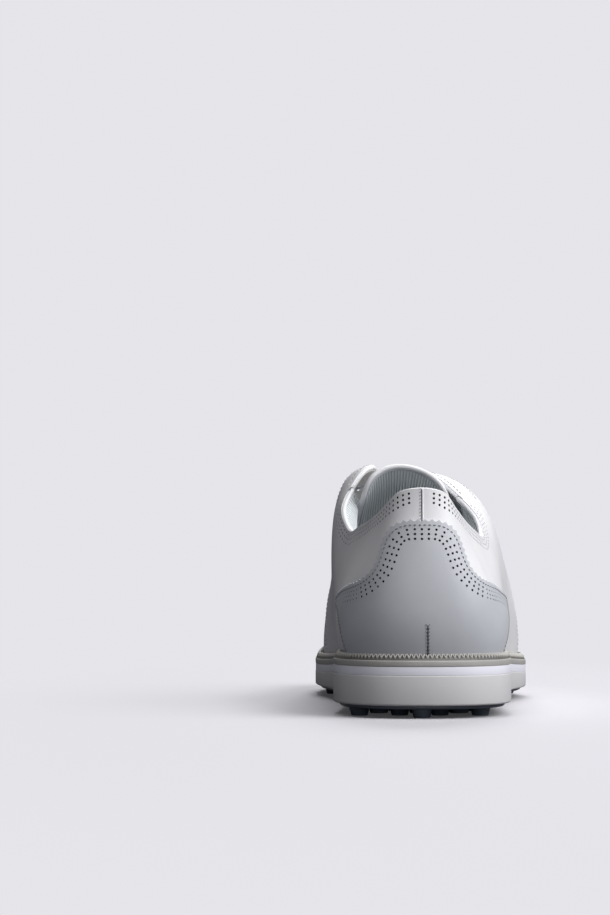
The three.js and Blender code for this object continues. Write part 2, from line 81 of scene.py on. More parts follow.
def wire(tree, node, values=(), feeds=()):
    """Sets a shader node's inputs: to values, and from other nodes' outputs."""
    for name, value in dict(values).items():
        node.inputs[name].default_value = value
    for name, output in dict(feeds).items():
        tree.links.new(output, node.inputs[name])
    return node

def add_node(tree, kind, values=(), feeds=(), **traits):
    node = tree.nodes.new("ShaderNode" + kind)
    for trait, value in traits.items():
        setattr(node, trait, value)
    return wire(tree, node, values, feeds)

def new_material(name):
    material = bpy.data.materials.new(name)
    material.use_nodes = True
    return material, material.node_tree, material.node_tree.nodes["Principled BSDF"]

bpy.ops.mesh.primitive_plane_add(size=80, location=(0, 0, 0))
floor = bpy.context.object
floor.name = "floor"
floor_paint, tree, paint = new_material("floor_paint")
wire(tree, paint, {"Base Color": (0.575, 0.567, 0.597, 1), "Roughness": 1.0, "Specular IOR Level": 0.0})
glow = add_node(tree, "Emission", {"Color": AIR})
dull = add_node(tree, "BsdfDiffuse", {"Color": (0.10, 0.10, 0.11, 1)})
place = add_node(tree, "TexCoord")
squeeze = add_node(tree, "Mapping", {"Scale": (1 / 0.056, 1 / 0.152, 0)}, {"Vector": place.outputs["Object"]})
reach = add_node(tree, "VectorMath", feeds={0: squeeze.outputs["Vector"]}, operation="LENGTH")
shrink = add_node(tree, "Math", {1: 0.2}, {0: reach.outputs["Value"]}, operation="MULTIPLY")
fade = add_node(tree, "ValToRGB", feeds={"Fac": shrink.outputs["Value"]})
fade.color_ramp.interpolation = "EASE"
for stop, (at, share) in enumerate(((0.2, 0.05), (0.42, 0.62), (1.0, 1.0))):
    point = fade.color_ramp.elements[stop] if stop < 2 else fade.color_ramp.elements.new(at)
    point.position = at
    point.color = (share, share, share, 1)
even = add_node(tree, "MixShader", feeds={"Fac": fade.outputs["Color"], 1: paint.outputs["BSDF"],
                                          2: glow.outputs["Emission"]})
path = add_node(tree, "LightPath")
seen = add_node(tree, "MixShader", feeds={"Fac": path.outputs["Is Camera Ray"], 1: dull.outputs["BSDF"],
                                          2: even.outputs["Shader"]})
tree.links.new(seen.outputs["Shader"], tree.nodes["Material Output"].inputs["Surface"])
floor.data.materials.append(floor_paint)

air = bpy.data.worlds.new("studio_air")
bpy.context.scene.world = air
air.use_nodes = True
tree = air.node_tree
pale = wire(tree, tree.nodes["Background"], {"Color": AIR})
dim = add_node(tree, "Background", {"Color": (0.075, 0.075, 0.08, 1)})
path = add_node(tree, "LightPath")
pick = add_node(tree, "MixShader", feeds={"Fac": path.outputs["Is Camera Ray"], 1: dim.outputs["Background"],
                                          2: pale.outputs["Background"]})
tree.links.new(pick.outputs["Shader"], tree.nodes["World Output"].inputs["Surface"])
bpy.context.scene.view_settings.view_transform = "Standard"

# ---- Studio lights
# One large softbox behind the heel on the outer side does most of the work. A high one fills the inner side, a low
# one lifts the sole, and one over the toe lights the front and draws a thin bright rim round the shoe.
def softbox(name, azimuth, elevation, distance, size, strength):
    """azimuth is turned from straight behind the heel toward the outer side; strength 1 lights white to white."""
    lamp = bpy.data.objects.new(name, bpy.data.lights.new(name, "AREA"))
    bpy.context.scene.collection.objects.link(lamp)
    lamp.data.shape = "DISK"
    lamp.data.size = size
    lamp.data.energy = strength * (math.pi * distance) ** 2
    turn, tilt = math.radians(azimuth), math.radians(elevation)
    lamp.location = (math.sin(turn) * math.cos(tilt) * distance, -math.cos(turn) * math.cos(tilt) * distance,
                     math.sin(tilt) * distance + 50 * mm)
    lamp.rotation_euler = (math.pi / 2 - tilt, 0, turn)

softbox("key_softbox", 60, 40, 1.7, 1.5, 1.19)
softbox("fill_softbox", -25, 66, 2.2, 1.6, 0.24)
softbox("low_softbox", 10, 4, 2.2, 1.2, 0.13)
softbox("toe_softbox", 172, 48, 1.8, 1.0, 0.75)

# ---- The last
# Every leather, board and lining is pulled over the same wooden last, so its surface is worked out once, in
# millimetres: stations run from the heel (0) to the toe (15), negative on the inner side, and rise runs from the
# welt (0) to the top line or the ridge of the instep (1).
LATERAL = [
    (0, 4, 0, 7, 77.3, 5), (21.5, 8.5, 10.5, 10, 75.5, 5.5), (34.5, 22, 16.5, 20, 69, 6),
    (39, 42, 22, 36, 63.5, 6.5), (40, 62, 28.5, 56, 59, 6.5), (40, 82, 33.5, 75, 57, 6),
    (40.5, 100, 32, 90, 67, 6.5), (43, 118, 25.5, 98, 75.5, 7), (49, 142, 12, 109, 88, 6.5),
    (57, 168, -4, 120, 90.5, 4), (61, 192, -5, 150, 72, 3), (58, 220, -6, 185, 53, 2.5),
    (49.5, 248, -7, 215, 41, 2), (36, 272, -8, 242, 33, 1.5), (16, 292, -9, 262, 27.5, 1),
    (-9, 299, -9, 272, 24, 1),
]
MEDIAL = [
    (0, 4, 0, 7, 77.3, 5), (-20, 8.5, -10.5, 10, 75.5, 5.5), (-31.5, 22, -17, 20, 69, 6),
    (-35, 42, -22.5, 36, 64, 6), (-33.5, 62, -27.5, 56, 61, 6.5), (-31.5, 82, -31.5, 76, 59.5, 7),
    (-30.5, 100, -35, 90, 70, 7.5), (-30.5, 118, -31.5, 98, 79.5, 8.5), (-33, 142, -21, 107, 93, 9),
    (-37.5, 168, -4, 120, 90.5, 6), (-42, 196, -5, 150, 72, 2), (-42.3, 222, -6, 185, 53, 1.5),
    (-40.5, 248, -7, 215, 41, 1.5), (-35, 272, -8, 242, 33, 1.5), (-25, 291, -9, 262, 27.5, 1),
    (-9, 299, -9, 272, 24, 1),
]
TOE = 15
PER_STATION = 40
ROWS = 160
LUG_HEIGHT, OUTSOLE_PLATE, STRIPE, WELT, GAP = 4.2, 1.4, 3.1, 3.0, 0.3
WELT_REACH = 4.5

def mix(a, b, t):
    return a + (b - a) * t

def ease(x, low, high):
    t = np.clip((np.asarray(x, float) - low) / (high - low), 0, 1)
    return t * t * (3 - 2 * t)

def ground_rise(y):
    return 9 * np.maximum(0, (np.asarray(y, float) - 215) / 84.5) ** 2

def midsole_thickness(y):
    return mix(13.8, 7.8, ease(y, 60, 190))

def midsole_bottom(y):
    return ground_rise(y) + LUG_HEIGHT + OUTSOLE_PLATE

def midsole_top(y):
    return midsole_bottom(y) + GAP + midsole_thickness(y)

def welt_bottom(y):
    return midsole_top(y) + GAP + STRIPE

def welt_top(y):
    return welt_bottom(y) + GAP + WELT

SEAT = float(welt_top(0))

def loop_through(points):
    """A closed centripetal curve through the points, sampled at every station step."""
    points = np.array(points, float)
    count = len(points)
    out = []
    for k in range(count):
        p0, p1, p2, p3 = (points[(k + d) % count] for d in (-1, 0, 1, 2))
        d0, d1, d2 = (max(np.sum((b - a) ** 2), 1e-12) ** 0.25 for a, b in ((p0, p1), (p1, p2), (p2, p3)))
        t1 = ((p1 - p0) / d0 - (p2 - p0) / (d0 + d1) + (p2 - p1) / d1) * d1
        t2 = ((p2 - p1) / d1 - (p3 - p1) / (d1 + d2) + (p3 - p2) / d2) * d1
        t = (np.arange(PER_STATION) / PER_STATION)[:, None]
        out.append(p1 + t1 * t + (3 * (p2 - p1) - 2 * t1 - t2) * t ** 2 + (2 * (p1 - p2) + t1 + t2) * t ** 3)
    return np.concatenate(out)

def blurred(loop, width):
    """Softens a closed run of samples, as leather bridges small hollows."""
    reach = int(3 * width)
    weights = np.exp(-0.5 * (np.arange(-reach, reach + 1) / width) ** 2)
    weights /= weights.sum()
    return sum(w * np.roll(loop, k, axis=0) for w, k in zip(weights, range(-reach, reach + 1)))

def unit(v):
    return v / np.maximum(np.linalg.norm(v, axis=-1, keepdims=True), 1e-12)

stations = LATERAL + MEDIAL[1:TOE][::-1]
FEATHER = blurred(loop_through([(r[0], r[1], r[5]) for r in stations]), 5)
TOPS = blurred(loop_through([(r[2], r[3], r[4]) for r in stations]), 6)
LOOP = len(FEATHER)
station_of = np.arange(LOOP) / PER_STATION
station_of = np.where(station_of > TOE, station_of - 2 * TOE, station_of)
along = np.roll(FEATHER, -1, 0) - np.roll(FEATHER, 1, 0)
OUTWARD = unit(np.stack([along[:, 1], -along[:, 0], 0 * along[:, 0]], -1))

def last_surface():
    rise = np.linspace(0, 1, ROWS + 1)[None, :]
    round_part = ease(np.abs(station_of), 3, 8)[:, None]
    angle = rise * math.pi / 2
    inward = mix(rise, 1 - np.cos(angle), round_part)
    upward = mix(rise, np.sin(angle), round_part)
    swell = FEATHER[:, 2:3] * mix(6.75 * rise * (1 - rise) ** 2, 4 * rise * (1 - rise), round_part)
    plan = FEATHER[:, None, :2] + (TOPS[:, None, :2] - FEATHER[:, None, :2]) * inward[..., None]
    plan = plan + OUTWARD[:, None, :2] * swell[..., None]
    foot = welt_top(FEATHER[:, 1])[:, None]
    height = mix(foot, SEAT + TOPS[:, 2:3], upward)
    return np.concatenate([plan, height[..., None]], -1)

SURFACE = last_surface()

def rounded_toe(surface, passes=500, reach=30.0):
    """Rounds the last where its ridge runs out over the toe, with both sides and the toe line kept joined."""
    ids = np.arange(int(11 * PER_STATION), int(TOE * PER_STATION) + 1)
    right, left = surface[ids, ROWS // 3:].copy(), surface[(-ids) % LOOP, ROWS // 3:].copy()
    centre = surface[ids[-1], ROWS] + np.array([0, -4.0, 0])
    share = np.clip(1 - np.linalg.norm(right - centre, axis=2) / reach, 0, 1)[..., None] ** 0.7
    share[0], share[:, 0] = 0, 0
    for _ in range(passes):
        for half, other in ((right, left), (left, right)):
            wide = np.concatenate([half[:1], half, other[-2:-1]])
            tall = np.concatenate([half[:, :1], half, other[:, -2:-1]], axis=1)
            mean = (wide[:-2] + wide[2:] + tall[:, :-2] + tall[:, 2:]) / 4
            half += (mean - half) * share * 0.8
        both = (right[:, -1] + left[:, -1]) / 2
        right[:, -1], left[:, -1] = both, both
        both = (right[-1] + left[-1]) / 2
        right[-1], left[-1] = both, both
    surface[ids, ROWS // 3:] = right
    surface[(-ids) % LOOP, ROWS // 3:] = left

rounded_toe(SURFACE)

def surface_normals():
    ds = np.roll(SURFACE, -1, 0) - np.roll(SURFACE, 1, 0)
    dw = np.gradient(SURFACE, axis=1)
    normals = unit(np.cross(ds, dw))
    mirror = (-np.arange(LOOP)) % LOOP
    ridge = np.abs(station_of) > 9.5
    top = unit(normals[:, -1] + normals[mirror, -1])
    normals[ridge, -1] = top[ridge]
    tip = np.abs(station_of) > 13.6
    normals[tip, -1] = unit(normals[tip, -3] + normals[mirror[tip], -3])
    away = np.linalg.norm(SURFACE - SURFACE[int(TOE * PER_STATION), -1], axis=2)
    toe_top = unit(normals[(away > 4) & (away < 8)].mean(0))
    normals = unit(mix(normals, toe_top, np.clip(1.5 - away / 5, 0, 1)[..., None]))
    return normals

NORMALS = surface_normals()

def sampled(grid, station, rise):
    i = (np.asarray(station, float) * PER_STATION) % LOOP
    j = np.clip(np.asarray(rise, float), 0, 1) * ROWS
    i0 = np.floor(i).astype(int) % LOOP
    j0 = np.minimum(np.floor(j).astype(int), ROWS - 1)
    fi = (i - np.floor(i))[..., None]
    fj = (j - j0)[..., None]
    i1 = (i0 + 1) % LOOP
    return mix(mix(grid[i0, j0], grid[i1, j0], fi), mix(grid[i0, j0 + 1], grid[i1, j0 + 1], fi), fj)

def on_last(station, rise, depth=0.0):
    """Points over the last, depth millimetres outside (or, negative, inside) the white leather's outer face."""
    depth = np.asarray(depth, float)[..., None]
    return sampled(SURFACE, station, rise) + unit(sampled(NORMALS, station, rise)) * depth

def outline(station, reach):
    """The feather line in plan, moved outward by reach."""
    i = (np.asarray(station, float) * PER_STATION) % LOOP
    i0 = np.floor(i).astype(int) % LOOP
    i1 = (i0 + 1) % LOOP
    f = (i - np.floor(i))[..., None]
    base = mix(FEATHER[i0], FEATHER[i1], f)
    out = unit(mix(OUTWARD[i0], OUTWARD[i1], f))
    point = base + out * np.asarray(reach, float)[..., None]
    point[..., 2] = 0
    return point

# The frame's own origin: the outline's lowest corner lies on the midsole's.
around = np.linspace(0, 2 * TOE, 1441)[:-1]
edge = outline(around, np.full(around.shape, WELT_REACH))
cad_low, cad_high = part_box("midsole")
SHIFT = np.array([
    (cad_low[0] + cad_high[0]) / 2 / mm - (edge[:, 0].min() + edge[:, 0].max()) / 2,
    (cad_low[1] + cad_high[1]) / 2 / mm - (edge[:, 1].min() + edge[:, 1].max()) / 2,
    0,
])

def placed(points):
    """Millimetres round the last to metres in the frame."""
    return (np.asarray(points, float) + SHIFT) * mm

# ---- Quarters
# Two panels of white leather wrap the heel and the sides and carry the facings. They meet at the centre-back seam,
# are folded to a fine edge along the collar, and are punched with three rows of small holes below it.
VAMP_SIDE, THROAT, RIDGE_START, FACING_TOP, BAR_TACK = 9.8, 11.5, 9.0, 8.0, 7.0
LEATHER = 1.4
LACE_HOLE = 2.3

def span_to_ridge(station):
    i = (np.asarray(station) * PER_STATION).astype(int) % LOOP
    return np.linalg.norm(TOPS[i, :2] - FEATHER[i, :2], axis=-1)

def rise_at(station, distance):
    return np.arccos(np.minimum(distance / span_to_ridge(station), 1)) * 2 / math.pi

def throat_gap(station):
    return mix(12.0, 6.0, ease(np.abs(station), FACING_TOP, THROAT))

def facing_edge(station):
    return mix(1.0, rise_at(station, throat_gap(station)), ease(np.abs(station), FACING_TOP, RIDGE_START))

def facing_base(station):
    return mix(0.8, rise_at(station, throat_gap(station) + 15), ease(np.abs(station), FACING_TOP, RIDGE_START))

def vamp_edge(rise):
    return mix(VAMP_SIDE, THROAT, np.asarray(rise, float) ** 1.5)

def lengths(points):
    """The distance run at each point of a path."""
    return np.concatenate([[0], np.cumsum(np.linalg.norm(np.diff(points, axis=0), axis=1))])

def between(marks, run, path):
    """The path's own values at marks along its run."""
    return np.stack([np.interp(marks, run, column) for column in path.T], -1)

def walk(path, pitch):
    """Even steps of pitch millimetres along a path of (station, rise) pairs, measured on the last."""
    path = np.asarray(path, float)
    run = lengths(on_last(path[:, 0], path[:, 1]))
    return between(np.linspace(0, run[-1], max(1, int(round(run[-1] / pitch))) + 1), run, path)

def aside(path, distance):
    """The path moved distance millimetres to its left over the last's surface."""
    path = np.asarray(path, float)
    h = 0.02
    ps = (on_last(path[:, 0] + h, path[:, 1]) - on_last(path[:, 0] - h, path[:, 1])) / (2 * h)
    low, high = np.clip(path[:, 1] - h, 0, 1), np.clip(path[:, 1] + h, 0, 1)
    pw = (on_last(path[:, 0], high) - on_last(path[:, 0], low)) / (high - low)[:, None]
    points = on_last(path[:, 0], path[:, 1])
    forward = unit(np.gradient(points, axis=0))
    left = np.cross(unit(np.cross(ps, pw)), forward)
    e, f, g = (ps * ps).sum(1), (ps * pw).sum(1), (pw * pw).sum(1)
    a, b = (left * ps).sum(1), (left * pw).sum(1)
    det = np.maximum(e * g - f * f, 1e-9)
    step = np.stack([(a * g - b * f) / det, (b * e - a * f) / det], -1)
    return path + step * np.asarray(distance, float).reshape(-1, 1)

def ring_of_hole(centre, radius, sides=10):
    """A round hole as (station, rise) pairs."""
    h = 0.02
    s, w = centre
    ps = (on_last(s + h, w) - on_last(s - h, w)) / (2 * h)
    pw = (on_last(s, min(w + h, 1)) - on_last(s, w - h)) / (min(w + h, 1) - w + h)
    e, f, g = ps @ ps, ps @ pw, pw @ pw
    first = unit(ps)
    second = unit(pw - (pw @ first) * first)
    turn = np.arange(sides) / sides * 2 * math.pi
    out = []
    for t in turn:
        v = (first * math.cos(t) + second * math.sin(t)) * radius
        a, b = v @ ps, v @ pw
        det = e * g - f * f
        out.append((s + (a * g - b * f) / det, w + (b * e - a * f) / det))
    return np.array(out)

def inside(polygon, points):
    x, y = points[:, 0], points[:, 1]
    odd = np.zeros(len(points), bool)
    q = np.roll(polygon, -1, axis=0)
    for (ax, ay), (bx, by) in zip(polygon, q):
        if ay == by:
            continue
        crosses = (ay > y) != (by > y)
        odd ^= crosses & (x < ax + (y - ay) * (bx - ax) / (by - ay))
    return odd

def chosen(piece=None):
    """Leaves only this piece selected and active, or nothing selected."""
    bpy.ops.object.select_all(action="DESELECT")
    if piece:
        piece.select_set(True)
        bpy.context.view_layer.objects.active = piece

def mesh_piece(name, points, faces):
    data = bpy.data.meshes.new(name)
    data.from_pydata([tuple(p) for p in placed(points)], [], [tuple(int(i) for i in f) for f in faces])
    data.update()
    piece = bpy.data.objects.new(name, data)
    bpy.context.scene.collection.objects.link(piece)
    return piece

def apply_modifier(piece, kind, **settings):
    chosen(piece)
    step = piece.modifiers.new(kind.lower(), kind)
    for key, value in settings.items():
        setattr(step, key, value)
    bpy.ops.object.modifier_apply(modifier=step.name)

def smooth(piece, degrees=40):
    chosen(piece)
    bpy.ops.object.shade_smooth_by_angle(angle=math.radians(degrees))

def worked(piece, step, **settings):
    """Runs one editing step on all of a piece."""
    chosen(piece)
    bpy.ops.object.mode_set(mode="EDIT")
    bpy.ops.mesh.select_all(action="SELECT")
    step(**settings)
    bpy.ops.object.mode_set(mode="OBJECT")

def cut_panel(name, border, holes, depth, thickness, lay, stretch=(22.0, 80.0), grain=2.2):
    """A panel die-cut from leather: border and holes are closed loops in the panel's own flat coordinates, and
    lay(u, v, depth) takes those coordinates over the last. The flat piece is cut, laid and given its thickness."""
    stretch = np.array(stretch)
    flat_border = np.asarray(border) * stretch
    loops = [flat_border] + [np.asarray(hole) * stretch for hole in holes]
    low, high = flat_border.min(0), flat_border.max(0)
    u, v = np.meshgrid(np.arange(low[0], high[0], grain), np.arange(low[1], high[1], grain * 0.9))
    u = u + (np.arange(u.shape[0]) % 2)[:, None] * grain / 2
    field = np.stack([u.ravel(), v.ravel()], -1)
    field = field[inside(flat_border, field)]
    rim = np.concatenate(loops)
    keep = np.ones(len(field), bool)
    for chunk in np.array_split(np.arange(len(field)), max(1, len(field) // 400)):
        gap = np.linalg.norm(field[chunk][:, None] - rim[None], axis=2).min(1)
        keep[chunk] = gap > 0.55
    field = field[keep]
    centres = np.array([loop.mean(0) for loop in loops[1:]]) if holes else np.empty((0, 2))
    radii = np.array([np.linalg.norm(loop - loop.mean(0), axis=1).max() for loop in loops[1:]])
    if len(centres):
        gap = np.linalg.norm(field[:, None] - centres[None], axis=2) - radii[None]
        field = field[(gap > 0.3).all(1)]
    points, edges, start = [], [], 0
    for loop in loops:
        points += loop.tolist()
        edges += [(start + i, start + (i + 1) % len(loop)) for i in range(len(loop))]
        start += len(loop)
    points += field.tolist()
    verts, _, faces, _, _, _ = delaunay_2d_cdt(points, edges, [], 0, 1e-6)
    verts = np.array([(p[0], p[1]) for p in verts])
    faces = np.array(list(faces))
    middles = verts[faces].mean(1)
    wanted = inside(flat_border, middles)
    for hole in loops[1:]:
        near = np.abs(middles - hole.mean(0)).max(1) < 3
        wanted[near] &= ~inside(hole, middles[near])
    faces = faces[wanted]
    a, b, c = verts[faces[:, 0]], verts[faces[:, 1]], verts[faces[:, 2]]
    area = (b[:, 0] - a[:, 0]) * (c[:, 1] - a[:, 1]) - (b[:, 1] - a[:, 1]) * (c[:, 0] - a[:, 0])
    faces[area < 0] = faces[area < 0][:, ::-1]
    faces = faces[np.abs(area) > 1e-7]
    used = np.unique(faces)
    index = np.full(len(verts), -1)
    index[used] = np.arange(len(used))
    flat = verts[used] / stretch
    piece = mesh_piece(name, lay(flat[:, 0], flat[:, 1], depth), index[faces])
    worked(piece, bpy.ops.mesh.remove_doubles, threshold=0.004 * mm)
    apply_modifier(piece, "SOLIDIFY", thickness=thickness * mm, offset=-1, use_even_offset=False)
    smooth(piece, 50)
    return piece

def over_side(u, v, depth):
    return on_last(u, v, np.full(np.shape(u), float(depth)))

def collar_line(side):
    s = np.linspace(0.0, FACING_TOP, 200)
    return np.stack([side * s, np.ones_like(s)], -1)

def facing_route(side, start, count):
    """The facing's front edge from a station to the throat."""
    s = side * np.linspace(start, THROAT - 0.15, count)
    return np.stack([s, facing_edge(s)], -1)

def collar_route(side):
    """The top line: the collar, and then the facing's edge."""
    return np.concatenate([collar_line(side), facing_route(side, FACING_TOP, 120)])

def quarter_border(side):
    edge_rise = float(facing_edge(np.array([side * (THROAT - 0.15)]))[0])
    top = collar_route(side)
    front_rise = np.linspace(edge_rise, 0.0, 60)
    front = np.stack([side * vamp_edge(front_rise), front_rise], -1)
    foot = np.stack([side * np.linspace(VAMP_SIDE, 0.0, 150), np.zeros(150)], -1)
    back = np.stack([np.zeros(60), np.linspace(0, 1, 60)], -1)
    route = np.concatenate([top, front[1:], foot[1:], back[1:-1]])
    return walk(route, 1.3)[:-1]

def collar_holes(side):
    """Three rows below the collar, starting beside the centre-back seam and running up to the facing's corner."""
    first_row, row_gap, hole_gap, seam_gap, last_station = 1.9, 2.05, 2.9, 3.6, 6.9
    holes = []
    for row in range(3):
        path = aside(walk(collar_route(side), 0.7), -side * (first_row + row_gap * row))
        for mark in walk(path, hole_gap):
            if abs(on_last(mark[0], mark[1])[0]) > seam_gap and abs(mark[0]) < last_station:
                holes.append(ring_of_hole(mark, 0.60 if abs(mark[0]) < 4 else 0.52))
    return holes

def lace_holes(side):
    marks = side * np.linspace(8.55, THROAT - 0.8, 5)
    return [(s, float(rise_at(s, throat_gap(s) + 8))) for s in marks]

def grain_group():
    """Corrected grain with a thin polymer coat: nearly smooth, with a fine pebble and faint broad shades."""
    group = bpy.data.node_groups.new("leather_grain", "ShaderNodeTree")
    for way, sockets in (("INPUT", {"Pebble Scale": "Float", "Light": "Color", "Dark": "Color"}),
                         ("OUTPUT", {"Colour": "Color", "Roughness": "Float", "Height": "Float"})):
        for name, kind in sockets.items():
            group.interface.new_socket(name, in_out=way, socket_type="NodeSocket" + kind)
    enter, leave = group.nodes.new("NodeGroupInput"), group.nodes.new("NodeGroupOutput")
    place = add_node(group, "TexCoord").outputs["Object"]
    pebble = add_node(group, "TexVoronoi", feeds={"Vector": place, "Scale": enter.outputs["Pebble Scale"]},
                      feature="DISTANCE_TO_EDGE")
    groove = add_node(group, "MapRange", {"From Max": 0.12}, {"Value": pebble.outputs["Distance"]})
    fine = add_node(group, "TexNoise", {"Scale": 5200, "Detail": 3}, {"Vector": place})
    broad = add_node(group, "TexNoise", {"Scale": 45, "Detail": 4}, {"Vector": place})
    height = add_node(group, "Math", {1: 0.45}, {0: fine.outputs["Fac"], 2: groove.outputs["Result"]},
                      operation="MULTIPLY_ADD")
    spread = add_node(group, "MapRange", {"From Min": 0.35, "From Max": 0.65}, {"Value": broad.outputs["Fac"]})
    blend = add_node(group, "Mix", data_type="RGBA")
    wire(group, blend, feeds={"Factor": spread.outputs["Result"], "A": enter.outputs["Dark"],
                              "B": enter.outputs["Light"]})
    gloss = add_node(group, "MapRange", {"To Min": 0.4, "To Max": 0.52}, {"Value": broad.outputs["Fac"]})
    wire(group, leave, feeds={"Colour": blend.outputs["Result"], "Roughness": gloss.outputs["Result"],
                              "Height": height.outputs["Value"]})
    return group

LEATHER_GRAIN = grain_group()

def leather(name, light, dark, bump=0.12, pebble=1500, coat=0.08):
    material, tree, shader = new_material(name)
    grain = add_node(tree, "Group", node_tree=LEATHER_GRAIN)
    wire(tree, grain, {"Pebble Scale": pebble, "Light": (*light, 1), "Dark": (*dark, 1)})
    relief = add_node(tree, "Bump", {"Strength": bump, "Distance": 0.00012}, {"Height": grain.outputs["Height"]})
    wire(tree, shader, {"Coat Weight": coat, "Coat Roughness": 0.35, "Specular IOR Level": 0.45},
         {"Base Color": grain.outputs["Colour"], "Roughness": grain.outputs["Roughness"],
          "Normal": relief.outputs["Normal"]})
    return material

WHITE = leather("white_leather", (0.80, 0.80, 0.82), (0.76, 0.76, 0.785))

def dressed(piece, material, body, slot, *nodes):
    piece.data.materials.clear()
    piece.data.materials.append(material)
    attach(piece, body)
    if nodes:
        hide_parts(*nodes)

SIDES = ((1, "lateral"), (-1, "medial"))
for side, label in SIDES:
    holes = collar_holes(side) + [ring_of_hole(mark, LACE_HOLE, 20) for mark in lace_holes(side)]
    quarter = cut_panel(f"quarter_{label}", quarter_border(side), holes, 0, LEATHER, over_side)
    dressed(quarter, WHITE, "shoe", "white_leather", f"quarter_{label}")

# ---- Black backing and painted shade
# A thin black sheet lies just under the face of the punched rows, where a real shoe has tape glued behind them:
# painted shade that makes the holes read dark, and a backing that keeps the padding from showing. Narrow strips of
# the same black paint shade into grooves.
BLACK_BACKING_AND_SHADE, tree, shader = new_material("black_backing_and_painted_shade")
place = add_node(tree, "TexCoord").outputs["Object"]
weave = add_node(tree, "TexNoise", {"Scale": 1800}, {"Vector": place})
tone = add_node(tree, "Mix", data_type="RGBA")
wire(tree, tone, {"A": (0.008, 0.008, 0.009, 1), "B": (0.02, 0.02, 0.022, 1)}, {"Factor": weave.outputs["Fac"]})
wire(tree, shader, {"Roughness": 0.95, "Specular IOR Level": 0.1}, {"Base Color": tone.outputs["Result"]})

def sheet_of_grid(name, across, down, place):
    """A grid of leather or cloth, its vertices laid where place(a, b) says, for a and b from 0 to 1."""
    chosen()
    bpy.ops.mesh.primitive_grid_add(x_subdivisions=across, y_subdivisions=down, size=1, calc_uvs=True)
    piece = bpy.context.object
    piece.name = name
    piece.data.name = name
    flat = np.empty(len(piece.data.vertices) * 3)
    piece.data.vertices.foreach_get("co", flat)
    flat = flat.reshape(-1, 3)
    points = placed(place(np.clip(flat[:, 0] + 0.5, 0, 1), np.clip(flat[:, 1] + 0.5, 0, 1)))
    piece.data.vertices.foreach_set("co", points.ravel())
    piece.data.update()
    return piece

def outwards(piece, degrees):
    """Turns every face outward and smooths the edges flatter than an angle."""
    worked(piece, bpy.ops.mesh.normals_make_consistent, inside=False)
    smooth(piece, degrees)

def ribbon(inner, outer, a, b):
    """Pairs across a ribbon: a runs along it, and b from its inner to its outer edge."""
    k = a * (len(inner) - 1)
    i = np.minimum(k.astype(int), len(inner) - 2)
    f = (k - i)[:, None]
    return mix(mix(inner[i], inner[i + 1], f), mix(outer[i], outer[i + 1], f), b[:, None])

def backing_and_shade_strip(name, route, near, far, depth, thickness=0.12):
    """A thin black strip that follows a path between two distances to its left: painted shade for holes and grooves.
    """
    steps = walk(route, 1.5)
    inner, outer = aside(steps, near), aside(steps, far)
    def place(a, b):
        pair = ribbon(inner, outer, a, b)
        return over_side(pair[:, 0], pair[:, 1], depth)
    strip = sheet_of_grid(name, len(steps) - 1, 4, place)
    apply_modifier(strip, "SOLIDIFY", thickness=thickness * mm, offset=0)
    worked(strip, bpy.ops.mesh.normals_make_consistent, inside=False)
    dressed(strip, BLACK_BACKING_AND_SHADE, "shoe", "fibre_board")

# Painted shade: black sheets just under the face of the punched collar rows, so that the holes read dark.
for side, label in SIDES:
    run = collar_route(side)
    run = run[(np.abs(run[:, 0]) > 0.25) & (np.abs(run[:, 0]) < 6.9)]
    backing_and_shade_strip(f"collar_tape_{label}", run, -side * 1.0, -side * 7.2, -0.24)

# ---- Centre-back seam
# The quarters are stitched together face to face up the back and opened out, which leaves a raised fold on each
# side of a fine groove, with the stitches showing across one fold.
def grid_faces(rows, columns, row_loop=False, column_loop=False, start=0):
    """Four-sided faces over rows of points, joined back to the first row or column where a loop is asked for."""
    faces = []
    for i in range(rows if row_loop else rows - 1):
        here, there = start + i * columns, start + (i + 1) % rows * columns
        for k in range(columns if column_loop else columns - 1):
            m = (k + 1) % columns
            faces.append((here + k, here + m, there + m, there + k))
    return faces

def tube(name, centres, radius, sides=10, up=(0, 0, 1)):
    """A round cord of leather along the centres, with rounded ends."""
    centres = np.asarray(centres, float)
    radius = np.broadcast_to(np.asarray(radius, float), (len(centres),)).copy()
    forward = unit(np.gradient(centres, axis=0))
    ends = [centres[0] - forward[0] * radius[0] * 0.7, centres[-1] + forward[-1] * radius[-1] * 0.7]
    centres = np.concatenate([ends[:1], centres, ends[1:]])
    forward = np.concatenate([forward[:1], forward, forward[-1:]])
    radius = np.concatenate([[radius[0] * 0.45], radius, [radius[-1] * 0.45]])
    side = unit(np.cross(forward, np.array(up, float)) + 1e-6)
    over = np.cross(side, forward)
    turn = np.arange(sides) / sides * 2 * math.pi
    ring = side[:, None] * np.cos(turn)[None, :, None] + over[:, None] * np.sin(turn)[None, :, None]
    points = (centres[:, None] + ring * radius[:, None, None]).reshape(-1, 3)
    faces = grid_faces(len(centres), sides, column_loop=True)
    faces.append(tuple(range(sides))[::-1])
    faces.append(tuple(len(points) - sides + k for k in range(sides)))
    piece = mesh_piece(name, points, faces)
    outwards(piece, 60)
    return piece

# Each is how far along the stitch a ring of thread stands, how high on the arch, and its share of the thickness.
STITCH_ARCH = ((0.0, -0.3, 0.7), (0.2, 0.7, 1.0), (0.5, 1.0, 1.0), (0.8, 0.7, 1.0), (1.0, -0.3, 0.7))

